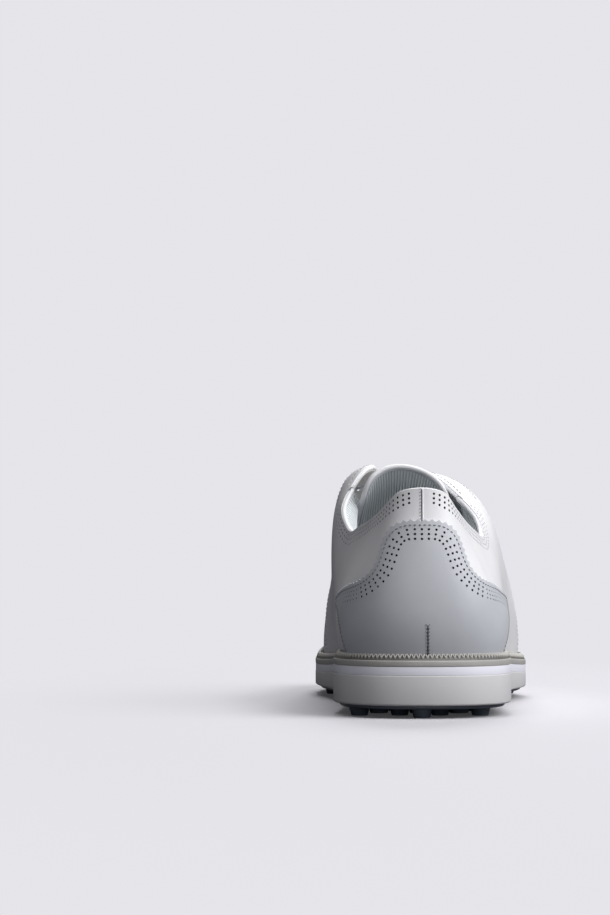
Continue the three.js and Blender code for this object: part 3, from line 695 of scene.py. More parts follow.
def threads(name, starts, ends, normals, radius=0.22, arch=0.35):
    """Many short stitches in one piece: each is a six-sided thread that arches from its start to its end."""
    starts, ends, normals = (np.asarray(a, float) for a in (starts, ends, normals))
    forward = unit(ends - starts)
    side = unit(np.cross(forward, normals))
    up = np.cross(side, forward)
    turn = np.arange(6) / 6 * 2 * math.pi
    ring = side[:, None] * np.cos(turn)[None, :, None] + up[:, None] * np.sin(turn)[None, :, None]
    rows = []
    for part, height, size in STITCH_ARCH:
        centre = starts + (ends - starts) * part + up * arch * height
        rows.append(centre[:, None] + ring * radius * size)
    faces = []
    for base in range(0, len(starts) * 30, 30):
        faces += grid_faces(5, 6, column_loop=True, start=base)
        faces += [tuple(range(base, base + 6))[::-1], tuple(range(base + 24, base + 30))]
    piece = mesh_piece(name, np.stack(rows, 1).reshape(-1, 3), faces)
    outwards(piece, 60)
    return piece

def thread_material(name, colour, roughness=0.7):
    """Polyester lockstitch thread with a fine twist along it."""
    material, tree, shader = new_material(name)
    place = add_node(tree, "TexCoord").outputs["Object"]
    twist = add_node(tree, "TexNoise", {"Scale": 2600, "Detail": 2}, {"Vector": place}).outputs["Fac"]
    tone = add_node(tree, "Mix", data_type="RGBA")
    wire(tree, tone, {"A": (*[c * 0.72 for c in colour], 1), "B": (*colour, 1)}, {"Factor": twist})
    relief = add_node(tree, "Bump", {"Strength": 0.4, "Distance": 0.0001}, {"Height": twist})
    wire(tree, shader, {"Roughness": roughness},
         {"Base Color": tone.outputs["Result"], "Normal": relief.outputs["Normal"]})
    return material

GREY_THREAD = thread_material("grey_thread", (0.24, 0.25, 0.27))
back_run = np.stack([np.zeros(60), np.linspace(0.80, 0.995, 60)], -1)
line = aside(back_run, -0.5)
fold = tube("back_seam_fold", on_last(line[:, 0], line[:, 1], np.full(60, -0.12)), 0.42, 10, up=(0, 1, 0))
dressed(fold, WHITE, "shoe", "white_leather")
# Painted shade: the seam's groove is a narrow black strip laid on the leather's face, with no groove in the
# geometry.
backing_and_shade_strip("back_seam_groove", back_run, 0.12, -0.12, 0.05, 0.1)
marks = walk(back_run, 1.5)
left, right = aside(marks, 1.0), aside(marks + np.array([0, 0.004]), 0.15)
stitches = threads("back_seam_stitches", on_last(left[:, 0], left[:, 1], np.full(len(left), 0.1)),
                   on_last(right[:, 0], right[:, 1], np.full(len(left), 0.25)),
                   np.tile([0, -1, 0.2], (len(left), 1)), 0.13, 0.2)
dressed(stitches, GREY_THREAD, "shoe", "white_leather")

# ---- Vamp and toe cap
# The vamp is one white panel over the toes, under the quarters' front edges. A grey cap with a pinked edge, a
# stitch row and three rows of holes is sewn over its toe.
def over_toe(u, v, depth):
    """u runs from -1 (inner side) over the ridge to 1, and v is the station."""
    side = np.where(u < 0, -1.0, 1.0)
    return on_last(side * np.minimum(v, TOE), 1 - np.abs(u), np.full(np.shape(u), float(depth)))

def toe_border(start, foot_rise=0.0, count=90):
    u = np.linspace(-(1 - foot_rise), 1 - foot_rise, count)
    back = np.stack([u, start(1 - np.abs(u))], -1)
    right = np.stack([np.full(count, 1 - foot_rise), np.linspace(start(foot_rise), TOE, count)], -1)
    tip = np.stack([u[::-1], np.full(count, float(TOE))], -1)
    left = np.stack([np.full(count, -(1 - foot_rise)), np.linspace(TOE, start(foot_rise), count)], -1)
    return np.concatenate([back[:-1], right[:-1], tip[:-1], left[:-1]])

def toe_walk(path, pitch):
    """Even steps along a path of (u, station) pairs over the toe."""
    run = lengths(over_toe(path[:, 0], path[:, 1], 0))
    return between(np.linspace(0, run[-1], max(1, int(round(run[-1] / pitch))) + 1), run, path)

def toe_cap_edge(back=0.0, count=300):
    """The cap's rear edge, moved back millimetres toward the toe."""
    u = np.linspace(-0.975, 0.975, count)
    start = 12 + 1.5 * (1 - np.abs(u))
    ahead = over_toe(u, start + 0.05, 0) - over_toe(u, start, 0)
    return np.stack([u, start + back * 0.05 / np.linalg.norm(ahead, axis=1)], -1)

vamp = cut_panel("vamp", toe_border(lambda rise: vamp_edge(rise) + 0.02), [], -0.1, LEATHER, over_toe,
                 stretch=(60.0, 22.0))
dressed(vamp, WHITE, "shoe", "white_leather", "vamp")
teeth = toe_walk(toe_cap_edge(), 1.55)
teeth[:, 1] += np.where(np.arange(len(teeth)) % 2 == 0, -0.022, 0.022)
cap_border = np.concatenate([teeth, toe_border(lambda rise: 12 + 1.5 * np.asarray(rise, float), 0.02)[89:]])
cap_holes = []
turn = np.arange(10) / 10 * 2 * math.pi
for row in (4.0, 6.2, 8.4):
    for u, s in toe_walk(toe_cap_edge(row), 3.0):
        spot, side_spot, ahead_spot = (over_toe(np.array([a]), np.array([b]), 0)[0]
                                       for a, b in ((u, s), (u + 0.01, s), (u, s + 0.05)))
        du, ds = np.linalg.norm(side_spot - spot) / 0.01, np.linalg.norm(ahead_spot - spot) / 0.05
        if abs(u) < 0.93:
            cap_holes.append(np.stack([u + 0.55 / du * np.cos(turn), s + 0.55 / ds * np.sin(turn)], -1))
CAP_DEPTH = 1.3
GREY = leather("grey_leather", (0.53, 0.545, 0.585), (0.49, 0.505, 0.545))
toe_cap = cut_panel("toe_cap", cap_border, cap_holes, CAP_DEPTH, 1.1, over_toe, stretch=(60.0, 22.0))
dressed(toe_cap, GREY, "shoe", "grey_leather", "toe_cap")
marks = toe_walk(toe_cap_edge(2.0), 2.2)
middle, half = (marks[1:] + marks[:-1]) / 2, (marks[1:] - marks[:-1]) * 0.36
a, b = (over_toe(m[:, 0], m[:, 1], CAP_DEPTH) for m in (middle - half, middle + half))
stitches = threads("toe_cap_stitches", a, b,
                   over_toe(middle[:, 0], middle[:, 1], 2) - over_toe(middle[:, 0], middle[:, 1], 1))
dressed(stitches, GREY_THREAD, "shoe", "grey_leather")

# Painted shade: a black sheet inside the toe cap's thickness, under its rows of holes, so that they read dark.
def cap_backing_and_shade_place(a, b):
    pair = ribbon(toe_cap_edge(2.6), toe_cap_edge(10.0), a, b)
    return over_toe(pair[:, 0] * 0.96, pair[:, 1], 0.9)

cap_backing_and_shade = sheet_of_grid("toe_cap_tape", 80, 3, cap_backing_and_shade_place)
apply_modifier(cap_backing_and_shade, "SOLIDIFY", thickness=0.1 * mm, offset=0)
dressed(cap_backing_and_shade, BLACK_BACKING_AND_SHADE, "shoe", "fibre_board")

# ---- Vamp seams
# Two rows of white thread hold each quarter's front edge down on the vamp. They are pulled tight, so the stitches
# lie half sunk in the leather.
def seam(name, route, depth, pitch=2.2, length=0.72):
    """A row of stitches along a path of (station, rise) pairs."""
    marks = walk(route, pitch)
    middle, half = (marks[1:] + marks[:-1]) / 2, (marks[1:] - marks[:-1]) / 2 * length
    a, b, low, high = (over_side(m[:, 0], m[:, 1], d) for m, d in ((middle - half, depth), (middle + half, depth),
                                                                  (middle, depth), (middle, depth + 1)))
    return threads(name, a, b, high - low, 0.2, 0.2)

WHITE_THREAD = thread_material("white_thread", (0.62, 0.62, 0.63))
for side, label in SIDES:
    rise = np.linspace(0.03, 0.80, 80)
    for row, back in ((1, 2.0), (2, 4.2)):
        route = np.stack([side * vamp_edge(rise), rise], -1)
        rows = seam(f"quarter_seam_{label}_{row}", aside(route, side * back), -0.08, 2.4)
        dressed(rows, WHITE_THREAD, "shoe", "white_leather")

# ---- Heel counter
# Grey leather wraps the heel outside the quarters: a dome up the back and low wings along the sides. It has a
# pinked top edge, one stitch row and three rows of punched holes that follow it, and a short dart at its foot.
def through(points, count=40):
    """A smooth open curve through the points, with count steps between each two."""
    points = np.array(points, float)
    padded = np.concatenate([2 * points[:1] - points[1:2], points, 2 * points[-1:] - points[-2:-1]])
    t = (np.arange(count) / count)[:, None]
    out = []
    for p0, p1, p2, p3 in zip(padded, padded[1:], padded[2:], padded[3:]):
        out.append(0.5 * (2 * p1 + (p2 - p0) * t + (2 * p0 - 5 * p1 + 4 * p2 - p3) * t ** 2
                          + (3 * p1 - p0 - 3 * p2 + p3) * t ** 3))
    return np.concatenate(out + [points[-1:]])

COUNTER_DEPTH = 1.5
DOME = [(0, 0.808), (0.48, 0.810), (0.80, 0.802), (1.03, 0.779), (1.17, 0.738), (1.22, 0.68), (1.25, 0.605),
        (1.34, 0.55), (1.57, 0.512), (2.0, 0.497)]
MEDIAL_WING = [(2.9, 0.495), (3.35, 0.483), (3.58, 0.455), (3.62, 0.41), (3.3, 0.365), (2.67, 0.294),
               (2.3, 0.19), (2.1, 0.06), (2.07, 0.02)]
LATERAL_WING = [(2.9, 0.497), (3.7, 0.49), (4.2, 0.465), (4.3, 0.42), (3.9, 0.35), (3.2, 0.25), (2.6, 0.14),
                (2.3, 0.05), (2.27, 0.02)]
lateral_run = through([(s, r) for s, r in DOME + LATERAL_WING])
medial_run = through([(-s, r) for s, r in DOME + MEDIAL_WING])
counter_route = walk(np.concatenate([lateral_run[::-1], medial_run[1:]]), 0.6)
route_station, route_rise = counter_route.T
top_part = counter_route[(route_station < 4.25) & (route_station > -3.55) & (route_rise > 0.43)]

def pinked(route, pitch=3.1, tooth=1.15):
    marks = walk(route, pitch / 4)
    steps = np.arange(len(marks)) % 4
    out = np.choose(steps, [-0.5, 0.1, 0.5, 0.1]) * tooth
    return aside(marks, out)

lateral_front = counter_route[:np.argmax((counter_route == top_part[0]).all(1))]
medial_front = counter_route[np.argmax((counter_route == top_part[-1]).all(1)) + 1:]
foot = np.stack([np.linspace(counter_route[-1, 0], counter_route[0, 0], 90), np.full(90, 0.012)], -1)
dart = np.array([(0.085, 0.012), (0.095, 0.10), (0.105, 0.185), (0.115, 0.10), (0.122, 0.012)])
after = foot[foot[:, 0] > 0.135]
before = foot[foot[:, 0] < 0.075]
counter_border = np.concatenate([walk(lateral_front, 1.3), pinked(top_part), walk(medial_front, 1.3), before[1:],
                                 dart, after[:-1]])
counter_holes, hole_spots = [], []
middle_row = aside(walk(counter_route[counter_route[:, 1] > 0.38], 0.8), 6.3)
dome_part = middle_row[np.abs(middle_row[:, 0]) < 1.55]
wings = [middle_row[middle_row[:, 0] >= 1.55], middle_row[middle_row[:, 0] <= -1.55]]
WING_HOLES = (2.5, 1.95, 0.44)
for line, (pitch, rows, size) in ((dome_part, (3.05, 2.2, 0.58)), (wings[0], WING_HOLES), (wings[1], WING_HOLES)):
    columns = walk(line, pitch)
    for distance in (-rows, 0, rows):
        for mark in aside(columns, distance):
            spot = on_last(mark[0], mark[1])
            if mark[1] > 0.28 and all(np.linalg.norm(spot - other) > 1.7 for other in hole_spots):
                hole_spots.append(spot)
                counter_holes.append(ring_of_hole(mark, size))
heel_counter = cut_panel("heel_counter", counter_border, counter_holes, COUNTER_DEPTH, 1.15, over_side)
dressed(heel_counter, GREY, "shoe", "grey_leather", "heel_counter")
for name, route, length in (("counter_stitches", aside(top_part, 2.1), 0.6),
                            ("counter_front_stitches_medial", aside(walk(medial_front, 1.0), 1.6), 0.72),
                            ("counter_front_stitches_lateral", aside(walk(lateral_front, 1.0), 1.6), 0.72)):
    dressed(seam(name, route, COUNTER_DEPTH, 2.1, length), GREY_THREAD, "shoe", "grey_leather")
# Painted shade: a black sheet inside the counter's thickness, under its rows of holes, so that they read dark.
backing_and_shade_strip("counter_tape", top_part[16:-16], 3.2, 9.6, COUNTER_DEPTH - 0.24, 0.1)
# Painted shade: a narrow black strip laid on the counter's face along the dart.
dart_line = np.stack([np.full(30, 0.105), np.linspace(0.02, 0.2, 30)], -1)
backing_and_shade_strip("dart_tape", dart_line, -0.22, 0.22, COUNTER_DEPTH + 0.02, 0.12)
for side, name in ((1, "dart_stitches_medial"), (-1, "dart_stitches_lateral")):
    marks = walk(dart_line, 1.6)
    near, far = aside(marks, side * 0.25), aside(marks + np.array([0, 0.01]), side * 0.95)
    rows = threads(name, over_side(near[:, 0], near[:, 1], COUNTER_DEPTH),
                   over_side(far[:, 0], far[:, 1], COUNTER_DEPTH),
                   np.tile([0, -1, 0], (len(near), 1)), 0.15, 0.25)
    dressed(rows, GREY_THREAD, "shoe", "grey_leather")

# ---- Sole unit
# The midsole is a block of moulded foam, thicker under the heel, with a thin white layer of harder foam cemented
# on top of it.
def layer_solid(name, reach, bottom, top, radius=0.8, steps=480):
    """A full sole layer: a ring of wall points with rounded edges, its top and bottom filled across."""
    s = np.linspace(0, 2 * TOE, steps + 1)[:-1]
    quarter_turn = np.linspace(0, math.pi / 2, 5)
    section = [(radius * (1 - math.sin(a)), 0, radius * (1 - math.cos(a))) for a in quarter_turn]
    section += [(radius * (1 - math.cos(a)), 1, -radius * (1 - math.sin(a))) for a in quarter_turn]
    rings = []
    for inset, upper, lift in section:
        p = outline(s, np.full(s.shape, reach - inset))
        p[:, 2] = (top(p[:, 1]) if upper else bottom(p[:, 1])) + lift
        rings.append(p)
    points = np.concatenate(rings)
    faces = grid_faces(len(rings), steps, column_loop=True)
    half = steps // 2
    for ring, flip in ((0, True), (len(rings) - 1, False)):
        for i in range(half):
            a, b = ring * steps + i, ring * steps + i + 1
            c, d = ring * steps + (steps - i - 1) % steps, ring * steps + (steps - i) % steps
            face = [a, b, c] if a == d else ([a, b, d] if b == c else [a, b, c, d])
            faces.append(tuple(face[::-1] if flip else face))
    piece = mesh_piece(name, points, faces)
    outwards(piece, 35)
    return piece

def moulded(name, light, dark, roughness, bump=0.15, scale=900):
    """A moulded or pressed surface with broad soft shades and a fine texture."""
    material, tree, shader = new_material(name)
    place = add_node(tree, "TexCoord").outputs["Object"]
    broad = add_node(tree, "TexNoise", {"Scale": 60}, {"Vector": place})
    fine = add_node(tree, "TexNoise", {"Scale": scale, "Detail": 4}, {"Vector": place}).outputs["Fac"]
    tone = add_node(tree, "Mix", data_type="RGBA")
    wire(tree, tone, {"A": (*dark, 1), "B": (*light, 1)}, {"Factor": broad.outputs["Fac"]})
    relief = add_node(tree, "Bump", {"Strength": bump, "Distance": 0.0002}, {"Height": fine})
    gloss = add_node(tree, "MapRange", {"To Min": roughness - 0.06, "To Max": roughness + 0.06}, {"Value": fine})
    wire(tree, shader, feeds={"Base Color": tone.outputs["Result"], "Roughness": gloss.outputs["Result"],
                              "Normal": relief.outputs["Normal"]})
    return material

MIDSOLE = moulded("midsole_foam", (0.63, 0.625, 0.64), (0.59, 0.585, 0.60), 0.6)
STRIPE_WHITE = moulded("stripe_white", (0.86, 0.86, 0.95), (0.83, 0.83, 0.92), 0.5)
midsole = layer_solid("midsole", WELT_REACH, lambda y: midsole_bottom(y) + 0.1, lambda y: midsole_top(y) + 0.1, 1.1)
dressed(midsole, MIDSOLE, "shoe", "midsole_foam", "midsole")
stripe = layer_solid("midsole_stripe", WELT_REACH - 0.15, lambda y: midsole_top(y) - 0.3,
                     lambda y: welt_bottom(y) + 0.2, 0.2)
dressed(stripe, STRIPE_WHITE, "shoe", "stripe_foam", "midsole_stripe")

# ---- Welt
# A strip of warm grey leather sewn all round between the upper and the midsole, with a raised rib against the upper
# and a dense row of crossing stitches on top.
WELT_THREAD = thread_material("welt_thread", (0.56, 0.545, 0.515))
WELT_BEIGE = leather("welt_leather", (0.44, 0.43, 0.415), (0.39, 0.38, 0.365), bump=0.5, pebble=900, coat=0)
# Painted shade: the rib under the stitches uses the same welt leather, painted far darker.
WELT_PAINTED_SHADE = leather("welt_leather_painted_shade", (0.15, 0.145, 0.135), (0.10, 0.095, 0.09), bump=0.5, pebble=900, coat=0)
welt = layer_solid("welt", WELT_REACH, lambda y: welt_bottom(y) - 0.05, lambda y: welt_top(y) - 0.2, 0.7)
dressed(welt, WELT_BEIGE, "shoe", "welt_leather", "welt")
loop = np.linspace(0, 2 * TOE, 721)[:-1]
def welt_point(station, reach, lift):
    p = outline(station, reach)
    p[..., 2] = welt_top(p[..., 1]) - 0.2 + lift
    return p
SLOPE = [(4.2, -0.3), (3.9, 0.3), (3.3, 1.0), (2.7, 1.95), (2.2, 2.75), (1.8, 3.15), (1.3, 3.1), (0.4, 1.6),
         (0.4, -0.3)]
rings = np.stack([welt_point(loop, np.full(720, reach), lift) for reach, lift in SLOPE], 1)
rib = mesh_piece("welt_rib", rings.reshape(-1, 3), grid_faces(720, len(SLOPE), row_loop=True, column_loop=True))
outwards(rib, 60)
# Painted shade: the rib wears the darkened copy of the welt leather.
dressed(rib, WELT_PAINTED_SHADE, "shoe", "welt_leather")
edge_run = outline(np.linspace(0, 2 * TOE, 3001), np.full(3001, 2.6))
run = lengths(edge_run)
count = int(run[-1] / 2.05)
spots = np.interp(np.arange(count + 1) / count * run[-1], run, np.linspace(0, 2 * TOE, 3001))
def on_slope(station, reach):
    lift = np.interp(reach, [1.8, 2.2, 2.7, 3.3, 3.9], [3.15, 2.75, 1.95, 1.0, 0.3])
    return welt_point(station, np.full(len(station), reach), lift)
out_up = np.concatenate([outline(spots[:-1], np.zeros(count))[:, :2] * 0, np.ones((count, 1))], 1)
out_up[:, :2] = unit(outline(spots[:-1], np.ones(count)) - outline(spots[:-1], np.zeros(count)))[:, :2]
middle = spots[:-1] * 0.5 + spots[1:] * 0.5
for name, start, end in (("welt_stitches_over", on_slope(spots[:-1], 3.5), on_slope(middle, 1.9)),
                         ("welt_stitches_under", on_slope(middle, 1.9), on_slope(spots[1:], 3.5))):
    rows = threads(name, start, end, out_up, 0.31, 0.34)
    dressed(rows, WELT_THREAD, "shoe", "welt_leather")

# ---- Outsole
# A thin sheet of dark navy rubber, moulded in one with its nubs and cemented under the midsole. The nubs are tapered
# round studs in staggered rows, with lower ones between them.
RUBBER = moulded("outsole_rubber", (0.115, 0.14, 0.175), (0.060, 0.075, 0.10), 0.42, bump=0.3, scale=700)
RUBBER.node_tree.nodes["Principled BSDF"].inputs["Coat Weight"].default_value = 0.15
plate = layer_solid("outsole", WELT_REACH - 3, lambda y: ground_rise(y) + LUG_HEIGHT,
                    lambda y: midsole_bottom(y) + 0.25, 0.5)

NUB_COLUMN, NUB_ROW, NUB_START = 18.5, 17, 9.5

def nubs(between_tall):
    """Places of the tall nubs, or of the lower ones between them."""
    border = outline(np.linspace(0, 2 * TOE, 181)[:-1], np.full(180, WELT_REACH - 3 - 6.5))[:, :2]
    spots = np.array([((column + ((row + between_tall) % 2) / 2) * NUB_COLUMN, NUB_START + row * NUB_ROW)
                      for row in range(18) for column in range(-4, 5)])
    return spots[inside(border, spots)]

def edit_faces(piece, up):
    """Goes into edit mode with only the faces selected that point up (1) or down (-1)."""
    bpy.ops.object.mode_set(mode="EDIT")
    bpy.ops.mesh.select_all(action="DESELECT")
    bpy.ops.object.mode_set(mode="OBJECT")
    for face in piece.data.polygons:
        face.select = face.normal.z * up > 0.9
    bpy.ops.object.mode_set(mode="EDIT")

chosen()
NUB_RADIUS, NUB_DEPTH, NUB_TAPER, NUB_SUNK = 3.7, 5.2, 1.36, 1.1
bpy.ops.mesh.primitive_cylinder_add(vertices=24, radius=NUB_RADIUS * mm, depth=NUB_DEPTH * mm,
                                    location=(0, 0, NUB_DEPTH / 2 * mm))
nub = bpy.context.object
bpy.ops.object.transform_apply(location=True, rotation=False, scale=False)
edit_faces(nub, 1)
bpy.ops.transform.resize(value=(NUB_TAPER, NUB_TAPER, 1))
edit_faces(nub, -1)
bpy.ops.mesh.inset(thickness=0.6 * mm)
bpy.ops.transform.translate(value=(0, 0, 0.3 * mm))
bpy.ops.object.mode_set(mode="OBJECT")
apply_modifier(nub, "BEVEL", width=0.5 * mm, segments=2, limit_method="ANGLE", angle_limit=math.radians(40))
parts = [plate]
for x, y, lift in [(*spot, 0.0) for spot in nubs(0)] + [(*spot, NUB_SUNK) for spot in nubs(1)]:
    copy = nub.copy()
    copy.data = nub.data.copy()
    bpy.context.scene.collection.objects.link(copy)
    shape = np.empty(len(copy.data.vertices) * 3)
    copy.data.vertices.foreach_get("co", shape)
    shape = shape.reshape(-1, 3) + placed([[x, y, 0]]) + np.array([0, 0, (float(ground_rise(y)) + lift) * mm])
    shape[:, 2] = np.minimum(shape[:, 2], (float(ground_rise(y)) + 5.0) * mm)
    copy.data.vertices.foreach_set("co", shape.ravel())
    parts.append(copy)
bpy.data.objects.remove(nub)
chosen()
for part in parts:
    part.select_set(True)
bpy.context.view_layer.objects.active = plate
bpy.ops.object.join()
smooth(plate, 35)
dressed(plate, RUBBER, "shoe", "outsole_rubber", "outsole")

# ---- Collar lining
# Pale blue-grey knitted mesh with raised cords and fine open cells. It rolls over the collar's edge, covers the
# collar foam, which swells it into a soft pad round the ankle, and runs down to the footbed.
def mesh_cloth(name, light, dark, shade_between_cords=False):
    """Knitted mesh. Where asked, painted shade darkens the cloth between the cords, read from the mesh's own cord
    attribute.
    """
    material, tree, shader = new_material(name)
    place = add_node(tree, "TexCoord").outputs["Object"]
    cell = add_node(tree, "TexVoronoi", {"Scale": 1300}, {"Vector": place}).outputs["Distance"]
    fibre = add_node(tree, "TexNoise", {"Scale": 3000, "Detail": 3}, {"Vector": place})
    open_cell = add_node(tree, "MapRange", {"From Min": 0.1, "From Max": 0.5}, {"Value": cell})
    tone = add_node(tree, "Mix", data_type="RGBA")
    wire(tree, tone, {"A": (*light, 1), "B": (*dark, 1)}, {"Factor": open_cell.outputs["Result"]})
    height = add_node(tree, "Math", feeds={0: fibre.outputs["Fac"], 1: cell}, operation="SUBTRACT")
    relief = add_node(tree, "Bump", {"Strength": 0.5, "Distance": 0.0003}, {"Height": height.outputs["Value"]})
    colour = tone.outputs["Result"]
    if shade_between_cords:
        # Painted shade: between the cords the colour falls to half the light tone.
        cord = add_node(tree, "Attribute", attribute_name="cord")
        groove = add_node(tree, "Mix", data_type="RGBA")
        wire(tree, groove, {"A": (*[c * 0.5 for c in light], 1)}, {"Factor": cord.outputs["Fac"], "B": colour})
        colour = groove.outputs["Result"]
    wire(tree, shader, {"Roughness": 0.85, "Sheen Weight": 0.25},
         {"Base Color": colour, "Normal": relief.outputs["Normal"]})
    return material

MESH = mesh_cloth("spacer_mesh", (0.90, 0.94, 0.96), (0.78, 0.83, 0.86), shade_between_cords=True)
PLAIN_MESH = mesh_cloth("plain_mesh", (0.78, 0.83, 0.86), (0.60, 0.65, 0.68))

def cushion(name, across, down, place, thickness_place, cord_place):
    """A closed pad: place(a, b) gives its visible face and thickness_place(a, b) its hidden one. cord_place(a, b)
    is 1 on top of a knitted cord and 0 between two, and is kept on the mesh for the painted shade between the cords."""
    a, b = np.meshgrid(np.linspace(0, 1, across + 1), np.linspace(0, 1, down + 1), indexing="ij")
    front, back = place(a.ravel(), b.ravel()), thickness_place(a.ravel(), b.ravel())
    cords = np.concatenate([cord_place(a.ravel(), b.ravel()), np.ones(a.size)])
    n, w = a.size, down + 1
    faces = grid_faces(across + 1, w)
    faces += [tuple(n + k for k in face[::-1]) for face in faces]
    rim = [i * w for i in range(across)] + [across * w + j for j in range(down)]
    rim += [i * w + down for i in range(across, 0, -1)] + list(range(down, 0, -1))
    faces += [(p, n + p, n + q, q) for p, q in zip(rim, rim[1:] + rim[:1])]
    piece = mesh_piece(name, np.concatenate([front, back]), faces)
    # The cord attribute carries the painted shade between the cords to the cloth.
    piece.data.attributes.new("cord", "FLOAT", "POINT").data.foreach_set("value", cords)
    outwards(piece, 60)
    return piece

def collar_swell(station, rise):
    """How far the pad stands in from the wall, in millimetres."""
    round_ankle = 1 - ease(np.abs(station), 6.9, 7.4)
    profile = np.sin(np.clip((1.0 - rise) / 0.42, 0, 1) * math.pi) ** 0.75
    return profile * round_ankle * mix(4.2, 7.2, ease(np.abs(station), 3, 6))

def lining_faces(a, b):
    station = mix(-9.9, 9.9, a)
    under = facing_base(station) - 0.02
    top = mix(0.995, np.minimum(under, 0.97), ease(np.abs(station), BAR_TACK + 0.1, BAR_TACK + 0.6))
    return station, mix(top, 0.03, b ** 1.15)

def lining_inner(a, b):
    station, rise = lining_faces(a, b)
    cord = 0.26 * np.cos(a * 2 * math.pi * 150)
    fade = ease(1 - rise, 0.0, 0.03)
    return on_last(station, rise, -(2.3 + 1.4 * ease(1 - rise, 0, 0.3) + collar_swell(station, rise) + cord * fade))

def lining_outer(a, b):
    station, rise = lining_faces(a, b)
    return on_last(station, rise, np.full(len(a), -1.62))

def lining_cords(a, b):
    return 0.5 - 0.5 * np.cos(a * 2 * math.pi * 150 + math.pi)

lining = cushion("quarter_lining", 900, 44, lining_inner, lining_outer, lining_cords)
dressed(lining, MESH, "shoe", "lining_mesh", "quarter_lining")

# ---- Collar edge
# The quarters' white leather is turned over the collar's edge and stitched down inside. It makes a knife edge at
# the back and a soft roll along the sides.
roll_run = walk(np.stack([np.linspace(-7.15, 7.15, 600), np.full(600, 1.0)], -1), 1.2)
roll_size = mix(0.72, 1.3, ease(np.abs(roll_run[:, 0]), 1.2, 3.4))
roll_centre = on_last(roll_run[:, 0], roll_run[:, 1], -roll_size)
roll_centre[:, 2] -= roll_size * 0.35
roll = tube("collar_roll", roll_centre, roll_size, 14)
dressed(roll, WHITE, "shoe", "white_leather")

# ---- Facing linings
# Warm grey leather is cemented behind the two facings. A bead of white leather is folded round their edges, and two
# rows of white stitches hold the layers together.
BEIGE = leather("beige_leather", (0.60, 0.59, 0.57), (0.54, 0.53, 0.51), bump=0.25)

def facing_border(side):
    s = np.linspace(7.05, THROAT - 0.15, 120)
    edge_side = np.stack([side * s, facing_edge(side * s) - 0.004], -1)
    base_side = np.stack([side * s, facing_base(side * s) - 0.03], -1)[::-1]
    return walk(np.concatenate([edge_side, base_side, edge_side[:1]]), 1.3)[:-1]

for side, label in SIDES:
    holes = [ring_of_hole(mark, LACE_HOLE, 20) for mark in lace_holes(side)]
    piece = cut_panel(f"facing_lining_{label}", facing_border(side), holes, -LEATHER - 0.03, 1.5, over_side)
    dressed(piece, BEIGE, "shoe", "facing_leather", f"facing_lining_{label}")
    run = facing_route(side, 7.2, 160)
    edge = walk(run, 1.2)
    bead = tube(f"facing_bead_{label}", on_last(edge[:, 0], edge[:, 1], np.full(len(edge), -1.35)), 0.8, 10)
    dressed(bead, WHITE, "shoe", "white_leather")
    for row, back in ((1, 2.4), (2, 13.2)):
        rows = seam(f"facing_stitches_{label}_{row}", aside(run, -side * back), 0.05, 2.3)
        dressed(rows, WHITE_THREAD, "shoe", "white_leather")

# ---- Bar tacks
# A tight knot of grey thread locks each facing's rear corner to the collar, where the laces pull hardest. Each is
# five strands sewn side by side over the edge.
for side, label in SIDES:
    spots = np.stack([side * np.linspace(7.02, 7.12, 5), np.full(5, 0.992)], -1)
    base = on_last(spots[:, 0], spots[:, 1], np.full(5, 0.1))
    tip = on_last(spots[:, 0] + side * 0.03, spots[:, 1], np.full(5, -3.0)) + np.array([0, -0.8, 0.6])
    knot = threads(f"bar_tack_{label}", base, tip, np.tile([0, -0.4, 1], (5, 1)), 0.24, 0.9)
    dressed(knot, GREY_THREAD, "shoe", "white_leather")

# ---- Eyelets
# Ten small rings of pressed steel, five to a facing. Each is set through the facing and its lining and rolled over,
# so that it has a flange on both faces.
STEEL, tree, shader = new_material("eyelet_steel")
place = add_node(tree, "TexCoord").outputs["Object"]
scratch = add_node(tree, "TexNoise", {"Scale": 900}, {"Vector": place}).outputs["Fac"]
worn = add_node(tree, "MapRange", {"To Min": 0.28, "To Max": 0.42}, {"Value": scratch})
tone = add_node(tree, "Mix", data_type="RGBA")
wire(tree, tone, {"A": (0.52, 0.53, 0.55, 1), "B": (0.62, 0.63, 0.65, 1)}, {"Factor": scratch})
wire(tree, shader, {"Metallic": 1.0}, {"Roughness": worn.outputs["Result"], "Base Color": tone.outputs["Result"]})
EYELET_SECTION = [(1.9, -3.1), (1.9, 0.2), (2.15, 0.5), (2.7, 0.55), (3.05, 0.35), (3.1, 0.05), (2.25, 0.0),
                  (2.25, -2.95), (2.9, -3.0), (2.9, -3.3), (2.2, -3.4)]

def eyelet(name, centre, normal, sides=28):
    """The section's (radius, height) pairs turned round the hole's own axis."""
    first = unit(np.cross(normal, [0, 0, 1.0]))
    second = np.cross(normal, first)
    turn = np.arange(sides) / sides * 2 * math.pi
    points = [centre + (first * math.cos(a) + second * math.sin(a)) * r + normal * h
              for a in turn for r, h in EYELET_SECTION]
    piece = mesh_piece(name, points, grid_faces(sides, len(EYELET_SECTION), row_loop=True, column_loop=True))
    outwards(piece, 50)
    return piece

for side, label in SIDES:
    for number, (s, w) in enumerate(lace_holes(side), 1):
        normal = unit(on_last(s, w, 1.0) - on_last(s, w, 0.0))
        ring = eyelet(f"eyelet_{label}_{number}", on_last(s, w, 0.0), normal)
        dressed(ring, STEEL, "shoe", "eyelet_metal", f"eyelet_{label}_{number}")

# ---- Tongue
# The tongue arches over the instep and leans a little to the inner side. White leather outside, a thick ribbed mesh
# pad inside, and a white rolled binding with a fine grey cord round its edge. It tilts at its root under the vamp.
CREST = through([(-6.2, 98, 92.3), (-6.0, 120, 82.2), (-5.6, 150, 64.0), (-6, 185, 46.5), (-6.6, 208, 40.7)], 60)
CREST[:, 2] += SEAT
crest_run = lengths(CREST)
TONGUE_LENGTH = crest_run[-1]

